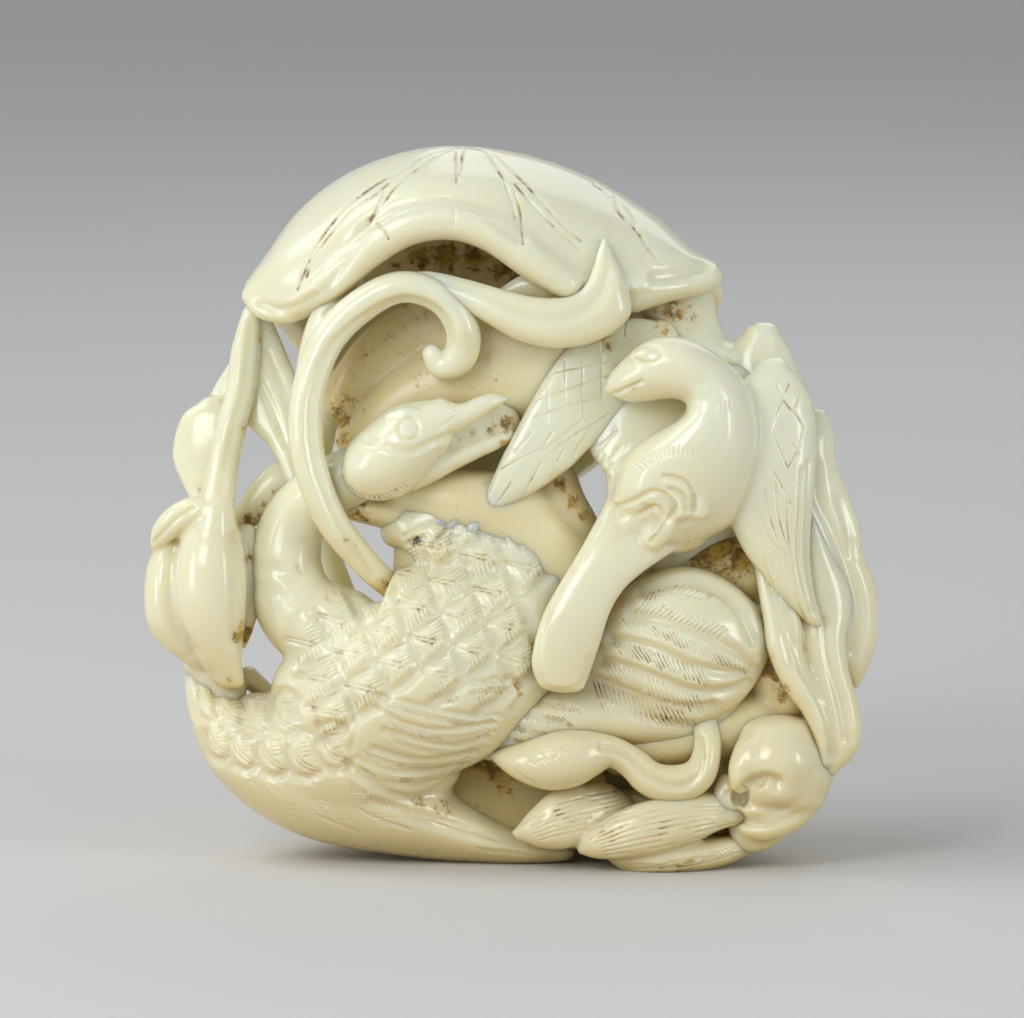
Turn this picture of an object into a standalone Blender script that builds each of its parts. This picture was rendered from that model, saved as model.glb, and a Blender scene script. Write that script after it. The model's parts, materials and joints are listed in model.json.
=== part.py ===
"""Jade carving: a goose and a falcon under a lotus leaf, worked all round from one pebble.

The forms are laid out in the carver's drawing plane: across to the right, up from the lowest petal,
and out towards the viewer, all in drawing units. The plane leans back a little, as the piece stands.
"""

import bmesh
import bpy
import math
from mathutils import Matrix, Vector

# Driving sizes, in metres: the whole height, the great leaf's wall, and the depth of the flat rests
HEIGHT = 0.0722
LEAF_WALL = 0.0030
REST_CUT = 0.0017

# The figures keep their proportions as shares of the height. The drawing plane leans back, and it
# stands forward of the origin, which is under the middle of the piece
DRAWING_UNITS = 72.2
UNIT = HEIGHT / DRAWING_UNITS
LEAN = math.radians(8.0)
FORWARD = 2.6 * UNIT

# Fineness of the carved surface
GRAIN = 0.55 * UNIT
POLISH_STEPS = 3
FACET_SHARE = 0.040
SECTION_SIDES = 18
RINGS_PER_SPAN = 5
CAP_RINGS = 3

JADE = (0.80, 0.80, 0.66, 1.0)
JADE_ROUGHNESS = 0.22


def clear_scene():
    for obj in list(bpy.data.objects):
        bpy.data.objects.remove(obj, do_unlink=True)


def smooth_between(rows, steps):
    """Catmull-Rom curve through rows of numbers, with every column eased alike."""
    last = len(rows) - 1
    eased = []
    for span in range(last):
        before = rows[max(span - 1, 0)]
        start = rows[span]
        end = rows[span + 1]
        after = rows[min(span + 2, last)]
        for step in range(steps):
            t = step / steps
            eased.append([
                0.5 * (2 * b + (c - a) * t + (2 * a - 5 * b + 4 * c - d) * t * t
                       + (3 * b - a - 3 * c + d) * t * t * t)
                for a, b, c, d in zip(before, start, end, after)
            ])
    eased.append(list(rows[last]))
    return eased


def limb(forms, stations, blunt=0.9):
    """A carved limb, petal or blade: ellipses along a curve.

    Each station is (across, up, out, half width, half depth) and may add a turn in degrees, which
    rolls the section about the curve.
    """
    rows = smooth_between([(*s, 0.0) if len(s) == 5 else s for s in stations], RINGS_PER_SPAN)
    centres = [Vector(row[:3]) for row in rows]
    rings = []
    side = Vector((1, 0, 0))
    for i, row in enumerate(rows):
        along = (centres[min(i + 1, len(rows) - 1)] - centres[max(i - 1, 0)]).normalized()
        across = along.cross(Vector((0, 0, 1)))
        if across.length > 0.15:
            side = across.normalized()
        side = (side - along * side.dot(along)).normalized()
        turned = Matrix.Rotation(math.radians(row[5]), 3, along) @ side
        deep = turned.cross(along).normalized()
        rings.append((centres[i], along, turned, deep, max(row[3], 0.25), max(row[4], 0.25)))
    caps = [math.pi / 2 * k / (CAP_RINGS + 1) for k in range(1, CAP_RINGS + 1)]
    mesh = bmesh.new()

    def circle(ring, push, shrink):
        centre, along, turned, deep, wide, thick = ring
        centre = centre + along * push * blunt * min(wide, thick)
        points = []
        for k in range(SECTION_SIDES):
            angle = 2 * math.pi * k / SECTION_SIDES
            offset = turned * wide * math.cos(angle) + deep * thick * math.sin(angle)
            points.append(mesh.verts.new(centre + offset * shrink))
        return points

    loops = [circle(rings[0], -math.sin(a), math.cos(a)) for a in reversed(caps)]
    loops += [circle(ring, 0.0, 1.0) for ring in rings]
    loops += [circle(rings[-1], math.sin(a), math.cos(a)) for a in caps]
    for first, second in zip(loops, loops[1:]):
        for k in range(SECTION_SIDES):
            j = (k + 1) % SECTION_SIDES
            mesh.faces.new((first[k], first[j], second[j], second[k]))
    for loop, ring, way in ((loops[0], rings[0], -1), (loops[-1], rings[-1], 1)):
        tip = mesh.verts.new(ring[0] + ring[1] * way * blunt * min(ring[4], ring[5]))
        for k in range(SECTION_SIDES):
            mesh.faces.new((loop[k], loop[(k + 1) % SECTION_SIDES], tip))
    bmesh.ops.recalc_face_normals(mesh, faces=mesh.faces)
    forms.append(mesh)


def ball(forms, across, up, out, radius):
    mesh = bmesh.new()
    place = Matrix.Translation((across, up, out))
    bmesh.ops.create_uvsphere(mesh, u_segments=16, v_segments=10, radius=radius, matrix=place)
    forms.append(mesh)


def lotus_leaf(forms):
    """The great leaf: it hoods the top, rolls over at the front and hangs down the back."""
    # Each rib of the leaf: across, then (up, out) at the front rim, brow, crown, shoulder, back and hem
    ribs = [
        (-25.6, (56.2, 9.0), (56.8, 8.6), (57.2, 7.6), (56.8, 6.4), (56.3, 5.4), (55.8, 5.0)),
        (-23.4, (56.2, 11.0), (59.0, 10.4), (60.2, 6.5), (58.5, 2.2), (56.5, 0.4), (54.8, 0.0)),
        (-20.2, (56.8, 13.2), (61.8, 11.8), (64.6, 5.5), (61.5, -2.2), (56.0, -5.6), (51.5, -6.0)),
        (-15.5, (60.0, 15.0), (65.0, 12.8), (68.2, 4.5), (64.5, -5.6), (56.0, -10.4), (45.0, -10.6)),
        (-9.5, (63.8, 15.6), (67.4, 13.0), (70.3, 3.6), (66.0, -7.6), (56.0, -13.0), (39.0, -13.2)),
        (-4.0, (63.6, 15.8), (67.6, 13.2), (70.6, 3.0), (66.0, -8.4), (55.0, -14.0), (35.5, -14.2)),
        (2.0, (60.5, 15.6), (66.2, 13.2), (69.6, 2.8), (65.0, -8.2), (54.0, -13.8), (36.5, -14.0)),
        (8.0, (57.2, 15.0), (63.6, 12.4), (67.3, 2.8), (62.5, -7.2), (53.0, -12.4), (40.0, -12.8)),
        (13.5, (57.4, 13.0), (61.6, 10.8), (63.9, 3.0), (60.0, -4.8), (53.5, -8.8), (45.5, -9.4)),
        (17.4, (57.8, 11.2), (59.6, 9.4), (60.5, 4.4), (58.5, -0.6), (54.8, -3.4), (50.5, -4.0)),
        (19.9, (58.2, 9.0), (58.8, 8.2), (59.0, 6.6), (58.4, 5.0), (57.6, 3.6), (56.6, 3.0)),
    ]
    flat = [[rib[0]] + [value for point in rib[1:] for value in point] for rib in ribs]
    mesh = bmesh.new()
    grid = []
    for row in smooth_between(flat, 4):
        points = [(row[0], row[k], row[k + 1]) for k in range(1, len(row), 2)]
        grid.append([mesh.verts.new(point) for point in smooth_between(points, 4)])
    for first, second in zip(grid, grid[1:]):
        for k in range(len(first) - 1):
            mesh.faces.new((first[k], first[k + 1], second[k + 1], second[k]))
    bmesh.ops.recalc_face_normals(mesh, faces=mesh.faces)
    shell = bpy.data.meshes.new("leaf_sheet")
    mesh.to_mesh(shell)
    mesh.free()
    sheet = bpy.data.objects.new("leaf_sheet", shell)
    bpy.context.scene.collection.objects.link(sheet)
    wall = sheet.modifiers.new("wall", "SOLIDIFY")
    wall.thickness = LEAF_WALL / UNIT
    wall.offset = 0.0
    wall.use_even_offset = True
    thick = evaluated_copy(sheet)
    bpy.data.objects.remove(sheet, do_unlink=True)
    mesh = bmesh.new()
    mesh.from_mesh(thick)
    forms.append(mesh)
    # The rolled rim over the window, and the lips of the two drooping corners
    limb(forms, [(-21.5, 56.2, 13.2, 1.3, 1.6), (-17.8, 58.4, 14.8, 1.7, 1.8), (-14.2, 61.6, 15.8, 1.9, 2.0),
                 (-10.4, 63.9, 16.4, 2.0, 2.1), (-6.0, 64.5, 16.6, 2.0, 2.1), (-2.0, 63.3, 16.6, 2.0, 2.1),
                 (1.8, 60.6, 16.4, 1.9, 2.0), (5.6, 58.0, 16.0, 1.6, 1.8)])
    limb(forms, [(-26.0, 57.0, 8.6, 0.9, 1.2), (-24.6, 56.2, 10.4, 1.5, 1.6), (-22.2, 55.9, 12.0, 1.6, 1.6),
                 (-19.6, 56.8, 13.4, 1.4, 1.5)])
    limb(forms, [(12.0, 56.9, 13.0, 1.6, 1.6), (15.8, 58.1, 11.6, 1.6, 1.6), (18.8, 58.6, 9.8, 1.4, 1.5),
                 (20.0, 59.0, 8.2, 0.9, 1.2)])


def tendrils(forms):
    """The curling stem round the goose's head, and the pointed leaf that lies on the hood."""
    limb(forms, [(-12.0, 28.2, 11.0, 1.3, 1.4), (-14.4, 30.4, 13.2, 1.4, 1.6), (-18.0, 35.0, 15.6, 1.6, 1.7),
                 (-20.2, 41.2, 16.8, 1.7, 1.7), (-20.2, 47.2, 16.8, 1.7, 1.7), (-18.4, 52.4, 16.4, 1.7, 1.7),
                 (-15.0, 56.0, 16.2, 1.7, 1.7), (-11.0, 57.9, 16.4, 1.6, 1.7), (-7.0, 56.8, 16.6, 1.6, 1.7),
                 (-4.9, 53.8, 16.4, 1.7, 1.7), (-5.2, 51.0, 15.6, 1.7, 1.6), (-7.0, 50.0, 15.2, 1.3, 1.4),
                 (-8.0, 51.4, 15.2, 1.0, 1.2)])
    limb(forms, [(-13.0, 57.4, 14.6, 0.9, 1.2), (-9.0, 59.2, 15.6, 1.0, 1.4), (-5.4, 58.2, 16.4, 1.3, 1.6),
                 (-2.0, 55.8, 17.0, 1.9, 1.8), (2.0, 54.3, 17.4, 2.3, 1.9), (6.0, 54.6, 17.4, 2.7, 1.8),
                 (8.8, 57.0, 17.0, 2.7, 1.7), (9.5, 60.2, 16.4, 1.5, 1.5), (9.0, 62.6, 15.8, 0.5, 1.0)])
    limb(forms, [(-18.8, 55.2, 13.6, 0.9, 1.4), (-20.4, 50.0, 13.6, 1.0, 1.6), (-20.8, 44.0, 13.4, 1.0, 1.6)])
    ball(forms, -5.7, 47.4, 13.2, 0.9)


def goose(forms):
    """Body curled to the left, breast low, neck looped back and the head laid over the back."""
    # Breast and under side, running to the tail tip
    limb(forms, [(-31.6, 19.9, 6.0, 1.1, 2.2), (-30.1, 16.4, 6.4, 2.4, 4.0), (-26.4, 12.2, 6.6, 4.4, 6.4),
                 (-20.4, 9.2, 6.4, 5.7, 8.2), (-13.4, 7.2, 6.0, 5.6, 8.2), (-6.4, 4.2, 5.4, 3.6, 6.4),
                 (0.4, 2.2, 6.4, 1.8, 4.4), (5.6, 1.6, 7.4, 0.8, 2.2)])
    # Wing mass over the flank
    limb(forms, [(-19.6, 21.6, 9.6, 5.0, 5.4), (-17.0, 20.2, 10.8, 8.0, 6.8), (-13.2, 19.2, 11.8, 10.6, 7.6),
                 (-8.6, 19.9, 12.8, 11.2, 7.8), (-3.8, 22.6, 12.6, 10.0, 7.2), (0.2, 25.8, 11.4, 7.4, 6.0),
                 (3.2, 28.4, 9.8, 4.4, 4.6)])
    # Flank, from the wing's lower edge to the root of the tail
    limb(forms, [(-25.4, 14.0, 7.0, 3.8, 5.0), (-21.6, 12.6, 8.2, 6.0, 6.6), (-17.0, 11.2, 8.8, 7.0, 7.2),
                 (-12.6, 9.6, 8.6, 5.6, 6.4), (-9.6, 8.4, 8.4, 3.2, 4.6)])
    # The trunk of the pebble behind it
    limb(forms, [(-22.6, 12.6, 1.0, 4.4, 5.0), (-16.6, 14.4, -1.0, 7.4, 8.8), (-9.0, 16.6, -2.0, 9.4, 10.0),
                 (0.0, 19.6, -2.4, 9.6, 10.0), (9.0, 20.4, -2.0, 8.6, 9.0), (18.0, 19.6, -1.0, 8.0, 8.0),
                 (25.0, 17.0, 1.0, 5.4, 6.0)])
    # Neck, looping from the breast up the left side to the head
    limb(forms, [(-16.8, 23.6, 9.6, 4.6, 4.8), (-20.6, 25.8, 9.8, 4.1, 4.4), (-22.5, 30.2, 9.8, 3.7, 3.8),
                 (-21.6, 34.4, 10.0, 3.4, 3.4), (-19.0, 37.4, 11.0, 3.1, 3.2), (-15.8, 39.2, 13.0, 3.0, 3.2)])
    # Cranium, then the two halves of the bill
    limb(forms, [(-14.8, 39.6, 14.6, 3.0, 3.0), (-12.8, 41.2, 15.6, 4.3, 3.8), (-10.2, 42.4, 16.4, 4.8, 4.2),
                 (-7.4, 43.2, 16.2, 4.1, 3.8)])
    limb(forms, [(-8.4, 43.9, 17.0, 2.8, 2.6), (-6.0, 45.0, 17.2, 2.2, 2.1), (-3.2, 46.1, 17.0, 1.4, 1.5),
                 (-1.0, 46.9, 16.6, 0.8, 0.9)])
    limb(forms, [(-9.0, 39.9, 15.4, 1.9, 2.2), (-5.8, 41.0, 15.8, 1.2, 1.6), (-2.4, 42.4, 15.6, 1.0, 1.2),
                 (-0.6, 43.2, 15.2, 0.7, 0.9)])
    limb(forms, [(-6.6, 42.6, 14.2, 1.8, 1.4), (-2.6, 44.4, 13.8, 1.8, 1.4), (1.0, 45.8, 13.2, 1.4, 1.4)])
    ball(forms, -10.1, 43.9, 19.4, 1.1)
    # Tuft where the falcon strikes, on the goose's back
    for across, up, turn_out, reach in ((-6.8, 33.4, 14.6, 2.2), (-4.8, 34.2, 14.8, 2.6), (-3.2, 33.2, 14.4, 2.2)):
        limb(forms, [(across - 0.9, up - 1.2, turn_out - 0.8, 0.8, 1.0), (across, up, turn_out, 1.0, 1.0),
                     (across + 0.8, up + 0.5 * reach, turn_out + 0.2, 0.5, 0.6)])
    # Second wing, showing under the falcon's tail
    limb(forms, [(9.4, 15.4, 10.6, 1.8, 2.4), (5.4, 15.2, 12.2, 2.8, 3.2), (1.2, 14.2, 12.2, 2.8, 3.0),
                 (-2.2, 12.0, 11.4, 1.2, 1.8)])
    # Fanned tail of that wing, a ribbed dome
    limb(forms, [(8.4, 19.6, 11.0, 2.6, 3.0), (12.0, 21.2, 12.2, 6.2, 4.6), (16.6, 22.2, 12.8, 8.0, 5.6),
                 (21.0, 22.8, 12.0, 6.8, 5.0), (23.8, 23.2, 10.4, 3.4, 3.6)])
    # Thigh and looped shank
    limb(forms, [(-1.8, 10.6, 12.4, 0.6, 0.9), (1.2, 10.4, 14.0, 2.1, 2.2), (4.8, 10.9, 14.8, 3.0, 2.9),
                 (7.8, 11.8, 14.6, 2.4, 2.4), (10.3, 12.8, 14.2, 1.5, 1.6), (12.3, 11.2, 14.2, 1.7, 1.7),
                 (14.4, 9.2, 14.2, 1.9, 1.8), (16.8, 8.7, 14.2, 1.8, 1.8), (18.6, 10.3, 14.2, 1.6, 1.7),
                 (19.0, 12.8, 13.8, 1.4, 1.5), (18.4, 15.0, 12.6, 1.3, 1.3)])


def falcon(forms):
    """Head bent down over the breast, both wings raised, tail hanging over the goose."""
    limb(forms, [(11.6, 48.5, 17.4, 1.8, 2.0), (13.6, 49.8, 18.0, 2.6, 2.8), (16.2, 50.1, 18.2, 3.0, 3.2),
                 (18.8, 49.2, 18.0, 3.0, 3.4), (20.7, 46.4, 17.4, 3.2, 3.8), (20.6, 43.2, 16.8, 4.3, 4.6),
                 (18.5, 39.4, 16.4, 6.0, 5.6), (16.9, 36.0, 15.8, 6.0, 5.2), (15.8, 33.6, 14.4, 3.8, 4.0)])
    limb(forms, [(13.0, 49.6, 18.0, 1.6, 1.8), (10.9, 48.8, 17.6, 1.3, 1.4), (9.8, 47.5, 17.0, 0.7, 0.9)])
    limb(forms, [(14.0, 47.6, 17.4, 1.3, 1.6), (11.8, 46.9, 17.0, 0.9, 1.2)])
    ball(forms, 12.9, 51.3, 19.6, 0.9)
    # Tail
    limb(forms, [(14.6, 37.0, 15.4, 2.8, 2.2), (11.2, 32.4, 17.0, 3.1, 2.0), (7.9, 26.8, 17.6, 3.5, 1.9),
                 (5.2, 20.8, 17.4, 3.6, 1.8)], blunt=1.6)
    # Claws gripping at the belly
    limb(forms, [(11.6, 37.4, 17.4, 0.7, 1.0), (13.8, 38.8, 19.6, 0.8, 1.0), (16.2, 38.2, 20.6, 0.9, 1.0),
                 (17.4, 35.8, 20.4, 0.9, 1.0), (17.0, 33.6, 19.0, 0.7, 0.9)])
    limb(forms, [(15.4, 36.8, 19.8, 0.7, 0.9), (15.2, 34.6, 19.4, 1.0, 1.0), (13.8, 33.0, 18.2, 1.1, 1.0)])
    # Raised wing on the left, and the fold of it behind the breast
    limb(forms, [(16.4, 52.2, 12.0, 2.4, 1.6), (13.0, 51.6, 12.6, 3.8, 1.7), (9.8, 49.4, 13.6, 4.3, 1.7),
                 (6.3, 46.0, 14.6, 3.9, 1.6), (3.0, 42.3, 15.2, 3.2, 1.5), (-0.2, 38.5, 15.2, 2.0, 1.3),
                 (-2.9, 35.7, 14.6, 0.8, 1.0)])
    limb(forms, [(15.6, 47.4, 12.0, 3.8, 1.8), (12.4, 43.0, 12.4, 3.8, 1.8), (11.0, 38.8, 12.6, 2.6, 1.6),
                 (10.2, 35.6, 12.4, 1.4, 1.6)])
    # Raised wing on the right
    limb(forms, [(26.4, 49.6, 13.0, 1.2, 1.4), (27.5, 45.6, 14.6, 2.5, 2.2), (27.9, 40.8, 15.4, 2.8, 2.4),
                 (27.2, 35.4, 15.6, 3.0, 2.4), (27.2, 30.4, 15.6, 2.6, 2.2), (28.8, 26.2, 15.4, 1.6, 1.8),
                 (30.6, 23.0, 14.8, 0.8, 1.2)])
    # The bird's back, carried to the trunk
    limb(forms, [(21.6, 47.6, 10.0, 3.2, 5.0), (21.4, 42.0, 8.0, 5.0, 6.4), (19.0, 36.0, 6.0, 6.0, 7.0),
                 (17.6, 29.0, 4.0, 6.4, 7.4), (17.0, 22.0, 3.0, 6.6, 8.0)])


def right_leaves(forms):
    """Leaves that hang down the right edge, behind the wing and over it."""
    limb(forms, [(25.0, 52.6, 6.0, 2.2, 1.8), (25.6, 50.2, 6.8, 3.5, 2.2), (26.4, 46.0, 7.6, 4.2, 2.4),
                 (27.6, 40.0, 8.6, 4.2, 2.8), (28.8, 34.0, 9.0, 3.9, 2.8), (29.6, 28.0, 9.4, 3.6, 2.8)], blunt=1.2)
    limb(forms, [(14.6, 55.8, 5.0, 2.2, 1.8), (17.4, 54.2, 5.2, 2.2, 1.8), (19.6, 51.6, 5.6, 1.9, 1.8),
                 (22.0, 48.6, 6.2, 2.4, 2.2)])
    limb(forms, [(30.9, 44.4, 8.6, 0.9, 1.3), (31.4, 39.4, 8.6, 1.7, 1.6), (32.4, 33.4, 9.0, 2.4, 1.8),
                 (33.2, 27.2, 9.2, 3.2, 2.0), (33.2, 22.0, 9.2, 2.6, 1.8), (32.8, 19.4, 9.0, 1.5, 1.5)])
    # The long rippled leaf: two folds with a furrow between them
    limb(forms, [(25.4, 30.0, 13.0, 1.5, 1.8), (26.2, 24.8, 14.2, 2.0, 1.8), (28.2, 20.0, 14.8, 2.2, 1.8),
                 (30.6, 15.8, 14.8, 1.7, 1.7), (32.0, 12.0, 14.0, 1.2, 1.5)])
    limb(forms, [(31.0, 27.6, 12.6, 2.2, 2.2), (31.4, 22.4, 13.6, 2.6, 2.2), (32.6, 17.6, 13.8, 2.2, 2.2),
                 (33.3, 13.8, 13.2, 1.5, 1.8), (32.4, 10.9, 12.2, 1.3, 1.5)])
    limb(forms, [(29.6, 25.4, 11.0, 3.4, 2.0), (30.6, 19.0, 11.6, 3.2, 2.0), (32.2, 13.6, 11.4, 1.8, 1.6)])


def fungus(forms):
    """The cloud-like lobes at the lower right corner."""
    limb(forms, [(22.7, 9.4, 13.0, 1.5, 1.8), (23.5, 11.2, 14.2, 2.2, 2.4), (25.6, 12.9, 14.8, 2.7, 2.8),
                 (28.2, 12.5, 14.8, 3.0, 3.0), (29.8, 10.2, 13.8, 2.9, 2.9), (28.8, 8.0, 12.8, 1.9, 2.2)])
    ball(forms, 26.2, 9.4, 10.6, 2.8)
    ball(forms, 25.2, 7.0, 13.2, 1.5)
    limb(forms, [(23.9, 4.3, 12.4, 1.4, 1.6), (26.4, 4.7, 13.0, 1.7, 1.7), (28.8, 5.8, 12.8, 1.4, 1.5)])
    limb(forms, [(21.6, 9.4, 11.8, 0.8, 1.0), (21.0, 6.8, 12.2, 1.1, 1.1)])
    limb(forms, [(22.4, 4.8, 11.0, 0.9, 1.2), (23.6, 2.8, 11.4, 1.2, 1.3), (26.6, 3.2, 11.2, 1.1, 1.2)])
    limb(forms, [(15.0, 12.6, 7.4, 3.0, 4.6), (20.0, 13.6, 9.0, 3.4, 4.4), (24.2, 15.0, 9.4, 3.0, 4.0),
                 (27.4, 15.2, 8.6, 2.4, 3.4)])
    limb(forms, [(30.4, 10.4, 8.0, 1.6, 3.2), (27.0, 8.0, 7.0, 4.0, 5.0), (22.0, 7.6, 6.0, 4.6, 6.0),
                 (16.0, 8.4, 5.0, 4.8, 6.0)])


def low_petals(forms):
    """Veined petals under the leg; the lowest one carries the piece."""
    limb(forms, [(13.4, 8.0, 9.6, 1.5, 1.6), (9.0, 6.8, 11.6, 2.5, 1.8), (5.2, 5.3, 12.4, 2.9, 1.9),
                 (2.4, 4.3, 12.0, 2.0, 1.6), (0.8, 4.0, 11.4, 0.9, 1.2)])
    limb(forms, [(24.6, 5.6, 10.8, 1.2, 1.6), (20.8, 5.6, 12.6, 2.2, 2.0), (15.8, 4.6, 13.8, 2.8, 2.2),
                 (10.8, 3.0, 13.6, 2.1, 2.0), (7.3, 1.9, 12.6, 0.8, 1.2)])
    limb(forms, [(24.6, 3.2, 9.2, 0.9, 1.6), (20.8, 1.9, 10.8, 1.5, 2.4), (16.0, 1.2, 11.6, 1.7, 3.0),
                 (12.0, 1.2, 11.4, 1.5, 2.6), (9.9, 1.8, 10.6, 0.8, 1.8)])
    limb(forms, [(6.0, 3.2, 6.6, 1.4, 3.0), (10.0, 4.6, 6.4, 3.0, 4.6), (16.0, 5.2, 5.6, 3.6, 5.0)])


def lotus_bud(forms):
    """Bud, its bent stem and the loose petals at the left edge."""
    limb(forms, [(-29.9, 36.3, 10.4, 2.2, 2.6), (-29.9, 32.3, 12.0, 3.0, 3.6), (-29.8, 27.8, 12.4, 3.4, 4.0),
                 (-29.2, 23.3, 11.8, 2.9, 3.6), (-28.0, 20.0, 10.6, 1.6, 2.4)])
    limb(forms, [(-34.0, 33.3, 7.4, 1.2, 2.0), (-34.6, 29.8, 8.6, 1.8, 2.8), (-34.5, 26.3, 9.0, 1.9, 3.0),
                 (-33.8, 22.8, 9.0, 1.8, 2.8), (-32.2, 21.2, 8.8, 1.2, 2.0)])
    limb(forms, [(-35.0, 33.2, 10.2, 0.9, 1.4), (-33.7, 34.8, 11.6, 1.6, 1.8), (-31.4, 36.2, 12.4, 1.6, 2.0)])
    limb(forms, [(-25.8, 54.9, 6.4, 1.3, 1.5), (-26.5, 51.7, 7.4, 1.4, 1.5), (-27.2, 47.8, 8.8, 1.35, 1.5),
                 (-27.8, 44.0, 10.0, 1.35, 1.5), (-28.8, 39.3, 11.0, 1.5, 1.6), (-29.7, 35.8, 11.6, 2.0, 2.0)])
    limb(forms, [(-29.0, 46.1, 2.2, 1.4, 1.0), (-30.7, 43.8, 3.0, 2.8, 1.1), (-31.2, 40.8, 3.8, 2.6, 1.2),
                 (-30.2, 37.6, 5.6, 1.5, 1.4)])
    limb(forms, [(-27.6, 50.3, 0.8, 0.8, 1.0), (-28.6, 47.8, 1.0, 1.7, 1.0), (-28.9, 44.4, 2.0, 2.0, 1.1),
                 (-28.4, 40.6, 4.4, 1.6, 1.2)])
    limb(forms, [(-24.9, 55.2, 4.8, 1.0, 1.4), (-23.9, 51.0, 6.0, 1.9, 1.2), (-22.9, 46.6, 7.6, 2.4, 1.2),
                 (-21.8, 42.0, 9.6, 1.5, 1.2), (-20.6, 38.4, 10.8, 1.1, 1.2)])
    limb(forms, [(-27.6, 35.2, 8.4, 0.9, 1.2), (-24.9, 37.3, 8.0, 1.5, 1.1), (-22.4, 39.2, 8.2, 1.5, 1.1),
                 (-20.0, 40.2, 9.0, 1.2, 1.2)])
    # Where the bud's tip rests on the breast
    limb(forms, [(-30.6, 20.6, 6.8, 2.2, 2.6), (-29.0, 17.6, 5.6, 2.6, 4.0)])
    limb(forms, [(-26.0, 20.2, 2.4, 1.3, 2.0), (-23.0, 18.2, 2.0, 1.4, 3.0)])


def inner_wall(forms):
    """The ground left between the birds and the leaf."""
    # Smooth swell behind the goose's head
    limb(forms, [(-15.2, 42.8, 8.4, 2.6, 3.0), (-10.4, 46.2, 8.6, 3.8, 3.2), (-4.0, 48.6, 8.8, 5.0, 3.4),
                 (3.0, 49.0, 8.6, 5.6, 3.6), (10.0, 48.4, 8.2, 5.2, 3.8), (16.0, 47.4, 7.6, 5.0, 4.0)])
    limb(forms, [(-12.4, 43.4, 0.6, 3.4, 5.6), (-5.0, 46.8, -1.0, 5.0, 6.6), (3.0, 48.2, -1.6, 5.4, 7.0),
                 (11.0, 47.8, -0.6, 5.4, 6.8), (18.0, 46.0, 1.0, 5.0, 6.0)])
    # Pierced ground inside the curl and under the hood
    limb(forms, [(-16.6, 46.4, 6.4, 2.6, 2.0), (-13.2, 50.6, 7.2, 3.2, 2.0), (-8.6, 53.8, 7.6, 3.2, 2.0),
                 (-3.0, 54.6, 7.4, 2.8, 2.0), (3.0, 53.6, 7.2, 2.8, 2.2)])
    # Below the head, down to the goose's back
    limb(forms, [(-10.4, 37.4, 9.6, 2.4, 3.4), (-6.0, 36.2, 9.8, 3.6, 4.2), (-0.6, 34.6, 9.6, 4.0, 4.6),
                 (3.6, 31.0, 9.2, 3.8, 4.6), (8.4, 28.0, 8.8, 3.8, 4.8)])
    limb(forms, [(-10.0, 40.0, 2.0, 2.6, 5.0), (-6.6, 35.0, 0.0, 4.4, 6.6), (-2.0, 30.4, -1.6, 5.4, 7.6),
                 (4.0, 27.0, -2.0, 5.8, 8.0)])
    limb(forms, [(-9.6, 35.6, 9.4, 2.2, 3.0), (-9.2, 31.6, 9.6, 2.6, 3.4), (-9.0, 27.0, 9.6, 3.0, 4.0)])
    limb(forms, [(-9.0, 34.4, 11.4, 2.0, 2.6), (-5.6, 32.2, 12.6, 3.4, 3.2), (-1.0, 31.2, 12.4, 3.6, 3.2)])


def back(forms):
    """The plainer far side: the goose's other wing, a second leaf and its stalks."""
    limb(forms, [(-17.0, 23.4, -5.6, 3.0, 3.4), (-12.6, 21.4, -8.6, 6.0, 4.2), (-7.0, 19.0, -10.4, 8.2, 4.4),
                 (0.0, 16.6, -11.0, 7.6, 4.2), (6.6, 13.6, -10.2, 4.6, 3.6), (11.0, 11.4, -8.6, 1.6, 2.2)])
    # Low leaf that carries the piece at the back
    limb(forms, [(-18.0, 8.4, -3.0, 2.6, 3.4), (-10.0, 6.6, -7.4, 3.4, 3.6), (0.0, 6.2, -9.6, 3.4, 3.6),
                 (10.0, 6.4, -9.0, 3.6, 3.6), (18.0, 7.8, -5.6, 3.4, 3.8), (24.0, 9.6, -1.4, 2.6, 3.4)])
    # Second lotus leaf at the right of the far side
    limb(forms, [(12.0, 40.6, -8.8, 3.0, 2.0), (17.4, 36.6, -8.6, 6.2, 2.2), (21.6, 31.0, -7.2, 7.4, 2.2),
                 (24.4, 24.6, -5.4, 6.2, 2.2), (26.0, 19.4, -3.4, 3.0, 2.0)])
    limb(forms, [(21.6, 47.0, 3.0, 3.0, 3.6), (22.8, 41.0, 1.6, 4.4, 4.6), (24.0, 33.0, 0.8, 5.0, 5.4),
                 (24.6, 25.0, 0.6, 5.4, 6.0)])
    # Stalks that climb to the great leaf
    limb(forms, [(-17.0, 27.0, -6.0, 1.5, 1.6), (-19.2, 33.6, -6.8, 1.4, 1.5), (-19.6, 40.6, -7.6, 1.4, 1.5),
                 (-17.6, 47.4, -9.0, 1.5, 1.6), (-14.4, 52.6, -10.6, 1.5, 1.6)])
    limb(forms, [(2.0, 24.0, -13.0, 1.4, 1.5), (-1.4, 29.6, -14.6, 1.4, 1.5), (-3.8, 36.0, -15.2, 1.5, 1.5),
                 (-4.4, 42.6, -15.4, 1.4, 1.4)])
    limb(forms, [(-4.0, 40.0, -10.0, 3.4, 4.6), (0.0, 45.0, -9.4, 4.4, 4.6), (4.0, 50.0, -8.4, 4.0, 4.0)])
    limb(forms, [(-26.6, 22.0, 4.6, 1.3, 1.5), (-25.0, 29.0, 2.6, 1.3, 1.4), (-24.8, 36.0, 2.0, 1.2, 1.3),
                 (-25.4, 43.0, 2.6, 1.2, 1.3), (-25.0, 50.0, 3.2, 1.3, 1.4), (-23.4, 55.6, 3.6, 1.4, 1.5)])


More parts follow.
